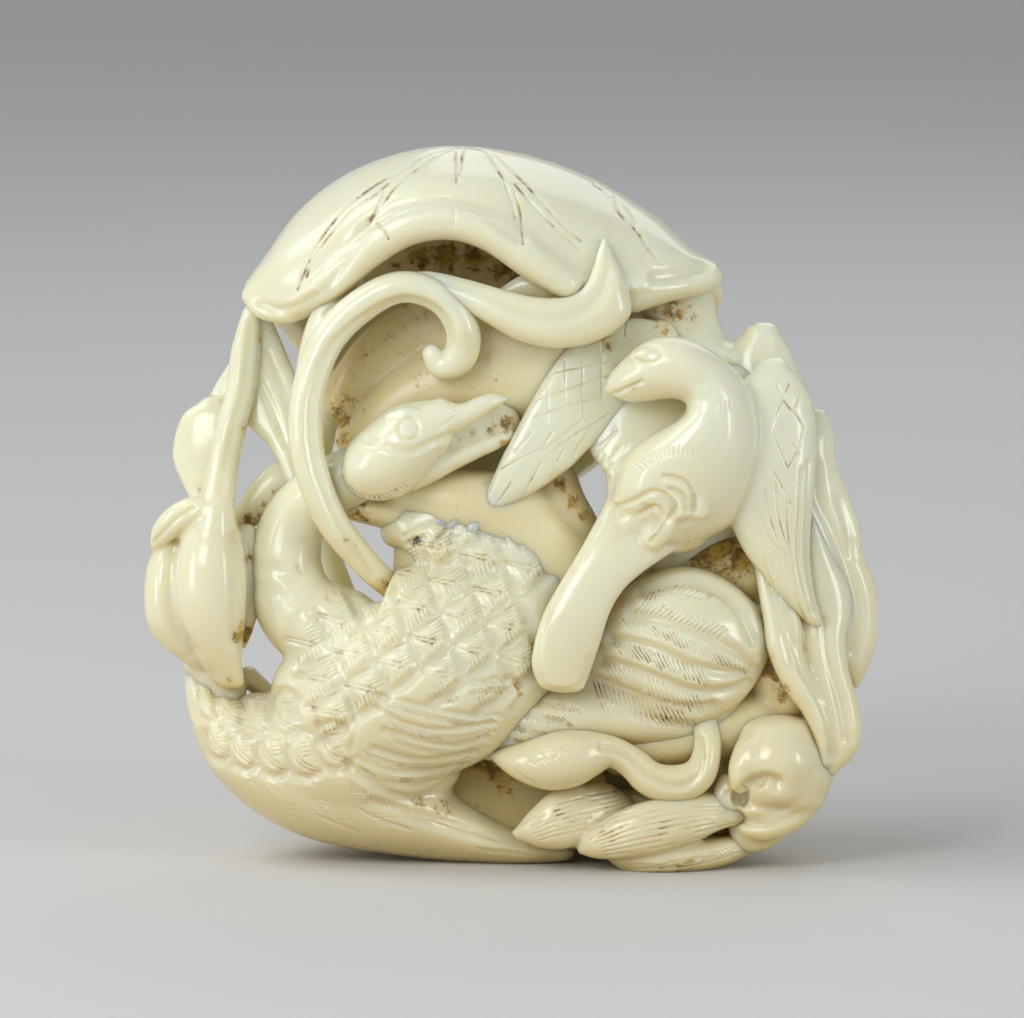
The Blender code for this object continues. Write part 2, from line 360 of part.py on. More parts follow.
def evaluated_copy(obj):
    graph = bpy.context.evaluated_depsgraph_get()
    return bpy.data.meshes.new_from_object(obj.evaluated_get(graph), depsgraph=graph)


def to_world():
    """Drawing units to metres: across is +X, up leans back, out is towards the viewer at -Y."""
    across = Vector((1, 0, 0))
    up = Vector((0, math.sin(LEAN), math.cos(LEAN)))
    out = Vector((0, -math.cos(LEAN), math.sin(LEAN)))
    frame = Matrix((across, up, out)).transposed().to_4x4()
    return Matrix.Translation((0, -FORWARD, -REST_CUT)) @ Matrix.Scale(UNIT, 4) @ frame


def keep_main_body(mesh):
    """Drops the sealed bubbles that overlapping forms enclose."""
    work = bmesh.new()
    work.from_mesh(mesh)
    unseen = set(work.verts)
    bodies = []
    while unseen:
        stack = [unseen.pop()]
        body = list(stack)
        while stack:
            for edge in stack.pop().link_edges:
                for vert in edge.verts:
                    if vert in unseen:
                        unseen.remove(vert)
                        stack.append(vert)
                        body.append(vert)
        bodies.append(body)
    bodies.sort(key=len)
    for body in bodies[:-1]:
        bmesh.ops.delete(work, geom=body, context="VERTS")
    work.to_mesh(mesh)
    work.free()


def jade():
    material = bpy.data.materials.new("white_jade")
    material.use_nodes = True
    shader = material.node_tree.nodes["Principled BSDF"]
    shader.inputs["Base Color"].default_value = JADE
    shader.inputs["Roughness"].default_value = JADE_ROUGHNESS
    shader.inputs["Metallic"].default_value = 0.0
    return material


def rest_cutter():
    """A block under the standing plane, which gives the piece its small flat rests."""
    bpy.ops.mesh.primitive_cube_add(size=4 * HEIGHT, location=(0, 0, -2 * HEIGHT))
    block = bpy.context.object
    block.name = "rest_cutter"
    block.hide_render = True
    block.display_type = "WIRE"
    cutters = bpy.data.collections.new("cutters")
    bpy.context.scene.collection.children.link(cutters)
    for holder in list(block.users_collection):
        holder.objects.unlink(block)
    cutters.objects.link(block)
    return block


def fused(forms):
    """One skin round every form, rounded where they meet."""
    whole = bmesh.new()
    for form in forms:
        piece = bpy.data.meshes.new("form")
        form.to_mesh(piece)
        form.free()
        whole.from_mesh(piece)
        bpy.data.meshes.remove(piece)
    mesh = bpy.data.meshes.new("carving")
    bmesh.ops.transform(whole, matrix=to_world(), verts=whole.verts)
    whole.to_mesh(mesh)
    whole.free()
    rough = bpy.data.objects.new("rough", mesh)
    bpy.context.scene.collection.objects.link(rough)
    skin = rough.modifiers.new("skin", "REMESH")
    skin.mode = "VOXEL"
    skin.voxel_size = GRAIN
    rubbed = rough.modifiers.new("rubbed", "SMOOTH")
    rubbed.factor = 0.5
    rubbed.iterations = POLISH_STEPS
    skinned = evaluated_copy(rough)
    bpy.data.objects.remove(rough, do_unlink=True)
    keep_main_body(skinned)
    return skinned


def build():
    clear_scene()
    forms = []
    for carve in (lotus_leaf, tendrils, goose, falcon, right_leaves, fungus, low_petals, lotus_bud,
                  inner_wall, back):
        carve(forms)
    skinned = fused(forms)
    carving = bpy.data.objects.new("carving", skinned)
    collection = bpy.data.collections.new("jade_carving")
    bpy.context.scene.collection.children.link(collection)
    collection.objects.link(carving)
    facets = carving.modifiers.new("facets", "DECIMATE")
    facets.ratio = FACET_SHARE
    flat = carving.modifiers.new("flat_rests", "BOOLEAN")
    flat.operation = "DIFFERENCE"
    flat.solver = "EXACT"
    flat.object = rest_cutter()
    carving.data.materials.clear()
    carving.data.materials.append(jade())
    carving.data.shade_smooth()


build()
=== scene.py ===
"""White jade openwork: a goose and a falcon under a lotus leaf, cut all round from one pebble."""

import json
import math

import bmesh
import bpy
import numpy as np
from mathutils import Matrix, Vector

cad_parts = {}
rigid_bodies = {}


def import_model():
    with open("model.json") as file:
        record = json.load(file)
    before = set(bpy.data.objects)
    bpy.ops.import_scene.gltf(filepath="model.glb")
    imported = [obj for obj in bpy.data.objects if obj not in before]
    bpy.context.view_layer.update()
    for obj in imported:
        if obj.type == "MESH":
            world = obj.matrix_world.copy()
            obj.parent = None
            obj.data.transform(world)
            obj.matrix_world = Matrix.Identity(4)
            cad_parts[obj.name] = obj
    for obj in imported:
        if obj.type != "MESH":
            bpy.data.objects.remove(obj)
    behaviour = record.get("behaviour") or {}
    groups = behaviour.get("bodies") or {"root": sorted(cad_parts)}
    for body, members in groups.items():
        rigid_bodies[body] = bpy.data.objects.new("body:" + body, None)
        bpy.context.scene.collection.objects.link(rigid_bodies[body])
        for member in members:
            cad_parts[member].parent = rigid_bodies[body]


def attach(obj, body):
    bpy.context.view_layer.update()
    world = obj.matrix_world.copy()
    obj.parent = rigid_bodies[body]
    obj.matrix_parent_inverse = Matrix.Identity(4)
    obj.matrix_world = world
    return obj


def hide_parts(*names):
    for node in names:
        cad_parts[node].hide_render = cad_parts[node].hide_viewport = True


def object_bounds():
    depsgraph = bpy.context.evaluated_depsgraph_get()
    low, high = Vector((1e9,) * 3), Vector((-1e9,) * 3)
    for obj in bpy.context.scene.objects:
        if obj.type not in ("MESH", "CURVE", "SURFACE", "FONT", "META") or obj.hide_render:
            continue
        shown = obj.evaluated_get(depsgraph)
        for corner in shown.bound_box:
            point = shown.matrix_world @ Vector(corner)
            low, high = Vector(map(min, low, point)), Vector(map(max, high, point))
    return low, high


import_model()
pebble_low, pebble_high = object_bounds()

# Great lotus leaf
# The leaf hoods the top of the pebble, rolls over at the front and hangs down the back. It is ground
# thin and polished, with pairs of veins that a small wheel has cut from the crown to the rim.

# The carver's drawing sheet is ruled in tenths of a millimetre from its top left corner, and it
# leans back as the piece stands
SHEET_MIDDLE = 512.0
SHEET_FOOT = 868.0
LEAN = math.radians(8.0)
FORWARD = 2.6
REST_CUT = 1.7
MILLIMETRE = 0.001
SECTION_SIDES = 28
RINGS_PER_SPAN = 8
CAP_RINGS = 4
LEAF_WALL = 3.0
LEAST_VOLUME = 0.2
PLAIN_CUT = 0.02


def on_sheet(x, y):
    return (x - SHEET_MIDDLE) / 10.0, (SHEET_FOOT - y) / 10.0


def smooth_between(rows, steps):
    """Catmull-Rom curve through rows of numbers, with every column eased alike."""
    rows = np.array(rows, dtype=float)
    last = len(rows) - 1
    eased = []
    for span in range(last):
        a = rows[max(span - 1, 0)]
        b = rows[span]
        c = rows[span + 1]
        d = rows[min(span + 2, last)]
        for step in range(steps):
            t = step / steps
            eased.append(0.5 * (2 * b + (c - a) * t + (2 * a - 5 * b + 4 * c - d) * t * t
                                + (3 * b - a - 3 * c + d) * t ** 3))
    eased.append(rows[last])
    return np.array(eased)


def loft(forms, rings, blunt, flat=1.0):
    """Closes a row of oval sections into one form with rounded ends. A flat below 1 fills out the
    shoulders of the oval, and blunt sets how far the ends bulge."""
    angle = np.arange(SECTION_SIDES) * 2 * math.pi / SECTION_SIDES
    wide = np.cos(angle)[:, None]
    deep = (np.sign(np.sin(angle)) * np.abs(np.sin(angle)) ** flat)[:, None]
    ends = [math.pi / 2 * k / (CAP_RINGS + 1) for k in range(1, CAP_RINGS + 1)]

    def section(ring, push, shrink):
        centre, along, side, back = ring
        reach = blunt * min(np.linalg.norm(side), np.linalg.norm(back))
        return centre + along * push * reach + (side * wide + back * deep) * shrink

    loops = [section(rings[0], -math.sin(a), math.cos(a)) for a in reversed(ends)]
    loops += [section(ring, 0.0, 1.0) for ring in rings]
    loops += [section(rings[-1], math.sin(a), math.cos(a)) for a in ends]
    points = np.concatenate(loops)
    faces = []
    for row in range(len(loops) - 1):
        low = row * SECTION_SIDES
        for k in range(SECTION_SIDES):
            j = (k + 1) % SECTION_SIDES
            faces.append((low + k, low + j, low + SECTION_SIDES + j, low + SECTION_SIDES + k))
    faces.append(tuple(range(SECTION_SIDES)))
    faces.append(tuple(range(len(points) - SECTION_SIDES, len(points))))
    forms.append((points, faces))


def limb(forms, stations, blunt=0.9, flat=1.0):
    """A limb or stalk: (across, up, out, half width, half depth) at each station, in millimetres."""
    rows = smooth_between([station[:5] for station in stations], RINGS_PER_SPAN)
    rings = []
    side = np.array((1.0, 0.0, 0.0))
    for i, row in enumerate(rows):
        along = rows[min(i + 1, len(rows) - 1), :3] - rows[max(i - 1, 0), :3]
        along /= np.linalg.norm(along)
        across = np.cross(along, (0.0, 0.0, 1.0))
        if np.linalg.norm(across) > 0.15:
            side = across / np.linalg.norm(across)
        side = side - along * side.dot(along)
        side /= np.linalg.norm(side)
        deep = np.cross(side, along)
        rings.append((row[:3], along, side * max(row[3], 0.2), deep * max(row[4], 0.2)))
    loft(forms, rings, blunt, flat)


def blade(forms, stations, blunt=0.8, flat=0.75):
    """A leaf or feather blade between two drawn edges: (x, y) and (x, y) on the sheet, then how far
    each edge stands out and half the blade's depth, in millimetres."""
    rows = smooth_between(stations, RINGS_PER_SPAN)
    left = np.column_stack((*on_sheet(rows[:, 0], rows[:, 1]), rows[:, 4]))
    right = np.column_stack((*on_sheet(rows[:, 2], rows[:, 3]), rows[:, 5]))
    middle = (left + right) / 2
    rings = []
    for i in range(len(rows)):
        along = middle[min(i + 1, len(rows) - 1)] - middle[max(i - 1, 0)]
        along /= np.linalg.norm(along)
        side = (right[i] - left[i]) / 2
        deep = np.array((0.0, 0.0, 1.0)) - side * side[2] / max(side.dot(side), 1e-6)
        rings.append((middle[i], along, side, deep / np.linalg.norm(deep) * rows[i, 6]))
    loft(forms, rings, blunt, flat)


def ball(forms, across, up, out, radius):
    """A rounded knob about a middle, in millimetres."""
    limb(forms, [(across, up - 0.6 * radius, out, 0.8 * radius, 0.8 * radius),
                 (across, up, out, radius, radius),
                 (across, up + 0.6 * radius, out, 0.8 * radius, 0.8 * radius)], blunt=0.5)


def plain_mesh(obj):
    graph = bpy.context.evaluated_depsgraph_get()
    return bpy.data.meshes.new_from_object(obj.evaluated_get(graph), depsgraph=graph)


def placed(name, mesh):
    piece = bpy.data.objects.new(name, mesh)
    bpy.context.scene.collection.objects.link(piece)
    return piece


def one_skin(name, forms, grain, rubs):
    """One skin round every form of a piece, rubbed smooth, still in drawing millimetres."""
    points = np.concatenate([form[0] for form in forms])
    faces = []
    first = 0
    for form_points, form_faces in forms:
        faces += [tuple(first + k for k in face) for face in form_faces]
        first += len(form_points)
    mesh = bpy.data.meshes.new(name)
    mesh.from_pydata(points.tolist(), [], faces)
    piece = placed(name, mesh)
    skin = piece.modifiers.new("skin", "REMESH")
    skin.mode = "VOXEL"
    skin.voxel_size = grain
    rubbed = piece.modifiers.new("rubbed", "SMOOTH")
    rubbed.factor = 0.5
    rubbed.iterations = rubs
    piece.data = without_bubbles(plain_mesh(piece))
    piece.modifiers.clear()
    return piece


def without_bubbles(mesh):
    """Drops the sealed bubbles that overlapping forms enclose."""
    ends = np.empty(len(mesh.edges) * 2, dtype=np.int64)
    mesh.edges.foreach_get("vertices", ends)
    ends = ends.reshape(-1, 2)
    body = np.arange(len(mesh.vertices))
    while True:
        lowest = np.minimum(body[ends[:, 0]], body[ends[:, 1]])
        before = body.copy()
        np.minimum.at(body, ends[:, 0], lowest)
        np.minimum.at(body, ends[:, 1], lowest)
        body = body[body]
        if np.array_equal(before, body):
            break
    names, body = np.unique(body, return_inverse=True)
    if len(names) > 1:
        places = np.empty(len(mesh.vertices) * 3)
        mesh.vertices.foreach_get("co", places)
        places = places.reshape(-1, 3)
        mesh.calc_loop_triangles()
        corners = np.empty(len(mesh.loop_triangles) * 3, dtype=np.int64)
        mesh.loop_triangles.foreach_get("vertices", corners)
        corners = corners.reshape(-1, 3)
        a, b, c = (places[corners[:, k]] for k in range(3))
        volume = np.bincount(body[corners[:, 0]], weights=np.einsum("ij,ij->i", a, np.cross(b, c)) / 6)
        work = bmesh.new()
        work.from_mesh(mesh)
        work.verts.ensure_lookup_table()
        loose = [work.verts[k] for k in np.flatnonzero(volume[body] < LEAST_VOLUME)]
        bmesh.ops.delete(work, geom=loose, context="VERTS")
        work.to_mesh(mesh)
        work.free()
    return mesh


def chained(lines, steps=5):
    """Points and edges of drawn lines, each eased where it has more than two points."""
    points = []
    edges = []
    for line in lines:
        eased = smooth_between(line, steps) if len(line) > 2 else np.array(line, dtype=float)
        first = len(points)
        points += eased.tolist()
        edges += [(first + k, first + k + 1) for k in range(len(eased) - 1)]
    return points, edges


def wheel_lines(name, lines):
    """Lines for the wheel to follow, each a row of (x, y) on the drawing sheet."""
    points, edges = chained(lines)
    mesh = bpy.data.meshes.new(name)
    mesh.from_pydata([(*on_sheet(x, y), 0.0) for x, y in points], edges, [])
    return placed(name, mesh)


def finer_under(piece, lines, reach=0.45, rub=2, side=1.0):
    """Splits the facets under the lines, so that the cut has a clean edge."""
    cell = 0.15
    margin = 2.0
    ends = np.array([[lines.data.vertices[k].co[:2] for k in edge.vertices]
                     for edge in lines.data.edges])
    steps = np.linspace(0.0, 1.0, 12)[None, :, None]
    dots = (ends[:, :1] * (1 - steps) + ends[:, 1:] * steps).reshape(-1, 2)
    low = dots.min(axis=0) - margin
    spot = ((dots - low) / cell).astype(int)
    size = ((dots.max(axis=0) + margin - low) / cell).astype(int) + 2
    marked = np.zeros(size, dtype=bool)
    marked[spot[:, 0], spot[:, 1]] = True
    for _ in range(int(reach / cell) + 1):
        grown = marked.copy()
        grown[1:] |= marked[:-1]
        grown[:-1] |= marked[1:]
        grown[:, 1:] |= marked[:, :-1]
        grown[:, :-1] |= marked[:, 1:]
        marked = grown
    work = bmesh.new()
    work.from_mesh(piece.data)
    work.normal_update()
    edges = set()
    for face in work.faces:
        if face.normal.z * side > 0.05:
            centre = face.calc_center_median()
            i = int((centre.x - low[0]) / cell)
            j = int((centre.y - low[1]) / cell)
            if 0 <= i < size[0] and 0 <= j < size[1] and marked[i, j]:
                edges.update(face.edges)
    cut = bmesh.ops.subdivide_edges(work, edges=list(edges), cuts=1, use_grid_fill=True)
    fresh = [item for item in cut["geom"] if isinstance(item, bmesh.types.BMVert)]
    for _ in range(rub):
        bmesh.ops.smooth_vert(work, verts=fresh, factor=0.5,
                              use_axis_x=True, use_axis_y=True, use_axis_z=True)
    work.to_mesh(piece.data)
    work.free()


def thinned(piece, chosen, share):
    """Fewer facets among the chosen vertices, where the skin is plain or turned away."""
    piece.vertex_groups.new(name="plain").add([int(k) for k in chosen], 1.0, "REPLACE")
    thin = piece.modifiers.new("thinned", "DECIMATE")
    thin.vertex_group = "plain"
    thin.ratio = 1.0 - (1.0 - share) * len(chosen) / len(piece.data.vertices)
    piece.data = plain_mesh(piece)
    piece.modifiers.clear()
    piece.vertex_groups.clear()


def rusted(piece, spots, nearest=99.0):
    """Marks where brown residue lies: (x, y) on the sheet, reach in millimetres and amount. Skin that
    faces away, or stands out further than nearest, stays clean."""
    places = np.empty(len(piece.data.vertices) * 3)
    piece.data.vertices.foreach_get("co", places)
    places = places.reshape(-1, 3)
    amount = np.zeros(len(places))
    for x, y, reach, strength in spots:
        across, up = on_sheet(x, y)
        away = np.hypot(places[:, 0] - across, places[:, 1] - up) / reach
        amount = np.maximum(amount, strength * np.clip(1.5 - away, 0.0, 1.0))
    facing = np.empty(len(piece.data.vertices) * 3)
    piece.data.vertices.foreach_get("normal", facing)
    amount[(places[:, 2] > nearest) | (facing[2::3] < 0.0)] = 0.0
    piece.data.attributes.new("rust", "FLOAT", "POINT").data.foreach_set("value", amount)


def added(tree, kind, sockets=None, **settings):
    """A new node of a tree, with its settings and then the values of its sockets."""
    made = tree.nodes.new(kind)
    for setting, value in settings.items():
        setattr(made, setting, value)
    for socket, value in (sockets or {}).items():
        made.inputs[socket].default_value = value
    return made


def tree_output(tree, socket):
    """Every tree of the carving ends in plain geometry with one stone on it."""
    real = added(tree, "GeometryNodeRealizeInstances")
    stone = added(tree, "GeometryNodeSetMaterial")
    source = tree.nodes["Group Input"]
    finish = added(tree, "NodeGroupOutput")
    tree.links.new(socket, real.inputs["Geometry"])
    tree.links.new(real.outputs["Geometry"], stone.inputs["Geometry"])
    tree.links.new(source.outputs["Stone"], stone.inputs["Material"])
    tree.links.new(stone.outputs["Geometry"], finish.inputs["Geometry"])


def new_tree(name, inputs):
    tree = bpy.data.node_groups.new(name, "GeometryNodeTree")
    tree.interface.new_socket("Geometry", in_out="INPUT", socket_type="NodeSocketGeometry")
    for label, kind, value in inputs:
        socket = tree.interface.new_socket(label, in_out="INPUT", socket_type=kind)
        if value is not None:
            socket.default_value = value
    tree.interface.new_socket("Stone", in_out="INPUT", socket_type="NodeSocketMaterial")
    tree.interface.new_socket("Geometry", in_out="OUTPUT", socket_type="NodeSocketGeometry")
    added(tree, "NodeGroupInput")
    return tree


def through_tree(piece, tree, **values):
    """Runs a piece through a tree, with its inputs set by the sockets' own identifiers."""
    run = piece.modifiers.new(tree.name, "NODES")
    run.node_group = tree
    for item in tree.interface.items_tree:
        if item.in_out == "INPUT" and item.name in values:
            run[item.identifier] = values[item.name]
    mesh = plain_mesh(piece)
    piece.modifiers.clear()
    return mesh


# The wheel: pushes the surface in along its normal, deepest on the line, where it faces the carver,
# or where it faces away when the side is -1
wheel = new_tree("wheel_cut", [
    ("Lines", "NodeSocketObject", None), ("Width", "NodeSocketFloat", 0.2),
    ("Depth", "NodeSocketFloat", 0.1), ("Stain", "NodeSocketFloat", 1.0),
    ("Side", "NodeSocketFloat", 1.0)])
given = wheel.nodes["Group Input"]
followed = added(wheel, "GeometryNodeObjectInfo")
where = added(wheel, "GeometryNodeInputPosition")
flattened = added(wheel, "ShaderNodeVectorMath", {1: (1.0, 1.0, 0.0)}, operation="MULTIPLY")
near = added(wheel, "GeometryNodeProximity", target_element="EDGES")
profile = added(wheel, "ShaderNodeMapRange", {"To Min": 1.0, "To Max": 0.0},
                interpolation_type="SMOOTHSTEP")
normal = added(wheel, "GeometryNodeInputNormal")
parts = added(wheel, "ShaderNodeSeparateXYZ")
from_side = added(wheel, "ShaderNodeMath", operation="MULTIPLY")
facing = added(wheel, "ShaderNodeMapRange", {"From Min": 0.05, "From Max": 0.40},
               interpolation_type="SMOOTHSTEP")
bite = added(wheel, "ShaderNodeMath", operation="MULTIPLY")
push = added(wheel, "ShaderNodeMath", operation="MULTIPLY")
inward = added(wheel, "ShaderNodeMath", {1: -1.0}, operation="MULTIPLY")
offset = added(wheel, "ShaderNodeVectorMath", operation="SCALE")
stained = added(wheel, "ShaderNodeMath", operation="MULTIPLY")
earlier = added(wheel, "GeometryNodeInputNamedAttribute", {"Name": "cut"}, data_type="FLOAT")
most = added(wheel, "ShaderNodeMath", operation="MAXIMUM")
kept = added(wheel, "GeometryNodeStoreNamedAttribute", {"Name": "cut"}, data_type="FLOAT",
             domain="POINT")
moved = added(wheel, "GeometryNodeSetPosition")
for start, end in (
        (given.outputs["Lines"], followed.inputs["Object"]),
        (followed.outputs["Geometry"], near.inputs[0]),
        (where.outputs["Position"], flattened.inputs[0]),
        (flattened.outputs["Vector"], near.inputs["Sample Position"]),
        (near.outputs["Distance"], profile.inputs["Value"]),
        (given.outputs["Width"], profile.inputs["From Max"]),
        (normal.outputs["Normal"], parts.inputs["Vector"]),
        (parts.outputs["Z"], from_side.inputs[0]),
        (given.outputs["Side"], from_side.inputs[1]),
        (from_side.outputs["Value"], facing.inputs["Value"]),
        (profile.outputs["Result"], bite.inputs[0]),
        (facing.outputs["Result"], bite.inputs[1]),
        (bite.outputs["Value"], push.inputs[0]),
        (given.outputs["Depth"], push.inputs[1]),
        (push.outputs["Value"], inward.inputs[0]),
        (normal.outputs["Normal"], offset.inputs[0]),
        (inward.outputs["Value"], offset.inputs["Scale"]),
        (bite.outputs["Value"], stained.inputs[0]),
        (given.outputs["Stain"], stained.inputs[1]),
        (stained.outputs["Value"], most.inputs[0]),
        (earlier.outputs["Attribute"], most.inputs[1]),
        (given.outputs["Geometry"], kept.inputs["Geometry"]),
        (most.outputs["Value"], kept.inputs["Value"]),
        (kept.outputs["Geometry"], moved.inputs["Geometry"]),
        (offset.outputs["Vector"], moved.inputs["Offset"])):
    wheel.links.new(start, end)
tree_output(wheel, moved.outputs["Geometry"])


def engraved(piece, lines, width, depth, stain=1.0, side=1.0):
    cut = through_tree(piece, wheel, Lines=lines, Width=width, Depth=depth, Stain=stain, Side=side)
    piece.data = cut


def finished(piece, stone, share=0.62):
    """Thins the skin where no wheel has cut, stands the piece as the pebble stands, grinds its rests
    flat and hands it to the model."""
    marks = piece.data.attributes.get("cut")
    depth = np.zeros(len(piece.data.vertices))
    if marks:
        marks.data.foreach_get("value", depth)
    thinned(piece, np.flatnonzero(depth < PLAIN_CUT), share)
    across = Vector((1, 0, 0))
    up = Vector((0, math.sin(LEAN), math.cos(LEAN)))
    out = Vector((0, -math.cos(LEAN), math.sin(LEAN)))
    stand = Matrix.Translation((0, -FORWARD * MILLIMETRE, -REST_CUT * MILLIMETRE))
    mesh = piece.data
    turned = Matrix((across, up, out)).transposed().to_4x4()
    mesh.transform(stand @ Matrix.Scale(MILLIMETRE, 4) @ turned)
    places = np.empty(len(mesh.vertices) * 3)
    mesh.vertices.foreach_get("co", places)
    places = np.clip(places.reshape(-1, 3), np.array(pebble_low), np.array(pebble_high))
    mesh.vertices.foreach_set("co", places.ravel())
    mesh.update()
    mesh.shade_smooth()
    mesh.materials.clear()
    mesh.materials.append(stone)
    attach(piece, "root")
    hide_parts("carving")


# Cloudy stone: pale green-white with warmer clouds, and painted shade: a deeper yellow mixed in low on
# the pebble and on faces that turn downward
clouds_and_painted_shade = bpy.data.node_groups.new("cloudy_stone", "ShaderNodeTree")
for label, kind in (("Pale", "NodeSocketColor"), ("Warm", "NodeSocketColor"),
                    ("Painted Shade", "NodeSocketColor"), ("Size", "NodeSocketFloat")):
    clouds_and_painted_shade.interface.new_socket(label, in_out="INPUT", socket_type=kind)
clouds_and_painted_shade.interface.new_socket("Color", in_out="OUTPUT", socket_type="NodeSocketColor")
given = added(clouds_and_painted_shade, "NodeGroupInput")
result = added(clouds_and_painted_shade, "NodeGroupOutput")
spot = added(clouds_and_painted_shade, "ShaderNodeTexCoord")
cloud = added(clouds_and_painted_shade, "ShaderNodeTexNoise", {"Detail": 4.0, "Roughness": 0.55})
spread = added(clouds_and_painted_shade, "ShaderNodeMapRange", {"From Min": 0.35, "From Max": 0.70},
               interpolation_type="SMOOTHSTEP")
blend = added(clouds_and_painted_shade, "ShaderNodeMix", data_type="RGBA")
place_parts = added(clouds_and_painted_shade, "ShaderNodeSeparateXYZ")
# Painted shade: the deep tone grows towards the bottom of the pebble and on downward faces, where less
# light falls
painted_low_shade = added(clouds_and_painted_shade, "ShaderNodeMapRange", {"From Min": 0.045, "From Max": 0.0, "To Max": 0.40})
surface = added(clouds_and_painted_shade, "ShaderNodeNewGeometry")
surface_parts = added(clouds_and_painted_shade, "ShaderNodeSeparateXYZ")
painted_under_shade = added(clouds_and_painted_shade, "ShaderNodeMapRange", {"From Min": 0.25, "From Max": -0.90, "To Max": 0.60},
                   interpolation_type="SMOOTHSTEP")
painted_shade_amount = added(clouds_and_painted_shade, "ShaderNodeMath", operation="ADD", use_clamp=True)
painted_shade_mix = added(clouds_and_painted_shade, "ShaderNodeMix", data_type="RGBA")
for start, end in (
        (spot.outputs["Object"], place_parts.inputs["Vector"]),
        (place_parts.outputs["Z"], painted_low_shade.inputs["Value"]),
        (surface.outputs["Normal"], surface_parts.inputs["Vector"]),
        (surface_parts.outputs["Z"], painted_under_shade.inputs["Value"]),
        (painted_low_shade.outputs["Result"], painted_shade_amount.inputs[0]),
        (painted_under_shade.outputs["Result"], painted_shade_amount.inputs[1]),
        (painted_shade_amount.outputs["Value"], painted_shade_mix.inputs["Factor"]),
        (blend.outputs["Result"], painted_shade_mix.inputs["A"]),
        (given.outputs["Painted Shade"], painted_shade_mix.inputs["B"]),
        (spot.outputs["Object"], cloud.inputs["Vector"]),
        (given.outputs["Size"], cloud.inputs["Scale"]),
        (cloud.outputs["Fac"], spread.inputs["Value"]),
        (spread.outputs["Result"], blend.inputs["Factor"]),
        (given.outputs["Pale"], blend.inputs["A"]),
        (given.outputs["Warm"], blend.inputs["B"]),
        (painted_shade_mix.outputs["Result"], result.inputs["Color"])):
    clouds_and_painted_shade.links.new(start, end)

# Old residue and painted shade: every hollow takes a warmer, darker tone, painted shade with some
# residue tint; brown residue gathers in the deepest hollows and in the wheel's cuts, and leaves dark
# specks
residue = bpy.data.node_groups.new("old_residue", "ShaderNodeTree")
for label, kind, value in (("Stone", "NodeSocketColor", (0.8, 0.8, 0.6, 1.0)),
                           ("Hollow Shade Tone", "NodeSocketColor", (0.62, 0.49, 0.17, 1.0)),
                           ("Residue", "NodeSocketColor", (0.23, 0.125, 0.018, 1.0)),
                           ("Rust Tone", "NodeSocketColor", (0.50, 0.33, 0.065, 1.0)),
                           ("Reach", "NodeSocketFloat", 0.006),
                           ("Hollow Shade Amount", "NodeSocketFloat", 0.6),
                           ("Cut Amount", "NodeSocketFloat", 0.5),
                           ("Speck Amount", "NodeSocketFloat", 0.5)):
    socket = residue.interface.new_socket(label, in_out="INPUT", socket_type=kind)
    socket.default_value = value
residue.interface.new_socket("Color", in_out="OUTPUT", socket_type="NodeSocketColor")
residue.interface.new_socket("Grime", in_out="OUTPUT", socket_type="NodeSocketFloat")
given = added(residue, "NodeGroupInput")
result = added(residue, "NodeGroupOutput")
spot = added(residue, "ShaderNodeTexCoord")
# The occlusion tints each recess towards the hollow tone: painted shade, partly residue tint
open_sky = added(residue, "ShaderNodeAmbientOcclusion", samples=8)
hollow = added(residue, "ShaderNodeMapRange", {"From Min": 0.55, "From Max": 0.05},
               interpolation_type="SMOOTHSTEP")
hollow_shade_share = added(residue, "ShaderNodeMath", operation="MULTIPLY")
hollow_shade_toned = added(residue, "ShaderNodeMix", data_type="RGBA")
patches = added(residue, "ShaderNodeTexNoise", {"Scale": 420.0, "Detail": 5.0, "Roughness": 0.65})
patch_edge = added(residue, "ShaderNodeMapRange", {"From Min": 0.50, "From Max": 0.62},
                   interpolation_type="SMOOTHSTEP")
cut = added(residue, "ShaderNodeAttribute", attribute_name="cut")
cut_edge = added(residue, "ShaderNodeMapRange", {"From Min": 0.22, "From Max": 0.70})
cut_patch = added(residue, "ShaderNodeMath", operation="MULTIPLY")
cut_share = added(residue, "ShaderNodeMath", operation="MULTIPLY")
deepest = added(residue, "ShaderNodeMapRange", {"From Min": 0.30, "From Max": 0.02},
                interpolation_type="SMOOTHSTEP")
deep_patch = added(residue, "ShaderNodeMath", operation="MULTIPLY")
specks = added(residue, "ShaderNodeTexNoise", {"Scale": 2600.0, "Detail": 2.0})
speck_edge = added(residue, "ShaderNodeMapRange", {"From Min": 0.68, "From Max": 0.74},
                   interpolation_type="SMOOTHSTEP")
speck_place = added(residue, "ShaderNodeMath", operation="MULTIPLY")
speck_share = added(residue, "ShaderNodeMath", operation="MULTIPLY")
cut_or_deep = added(residue, "ShaderNodeMath", operation="MAXIMUM")
grime = added(residue, "ShaderNodeMath", operation="MAXIMUM", use_clamp=True)
dirty = added(residue, "ShaderNodeMix", data_type="RGBA")
rust = added(residue, "ShaderNodeAttribute", attribute_name="rust")
rust_here = added(residue, "ShaderNodeMapRange", {"From Max": 0.08})
rust_level = added(residue, "ShaderNodeMath", {1: 0.36}, operation="MULTIPLY_ADD")
rust_edge = added(residue, "ShaderNodeMapRange", {"From Min": 0.64, "From Max": 0.84},
                  interpolation_type="SMOOTHSTEP")
crumbs = added(residue, "ShaderNodeTexNoise", {"Scale": 1100.0, "Detail": 6.0, "Roughness": 0.70})
rust_wash = added(residue, "ShaderNodeMath", {1: 0.45}, operation="MULTIPLY", use_clamp=True)
washed = added(residue, "ShaderNodeMix", {"B": (0.66, 0.47, 0.16, 1.0)}, data_type="RGBA")
rust_share = added(residue, "ShaderNodeMath", operation="MULTIPLY")
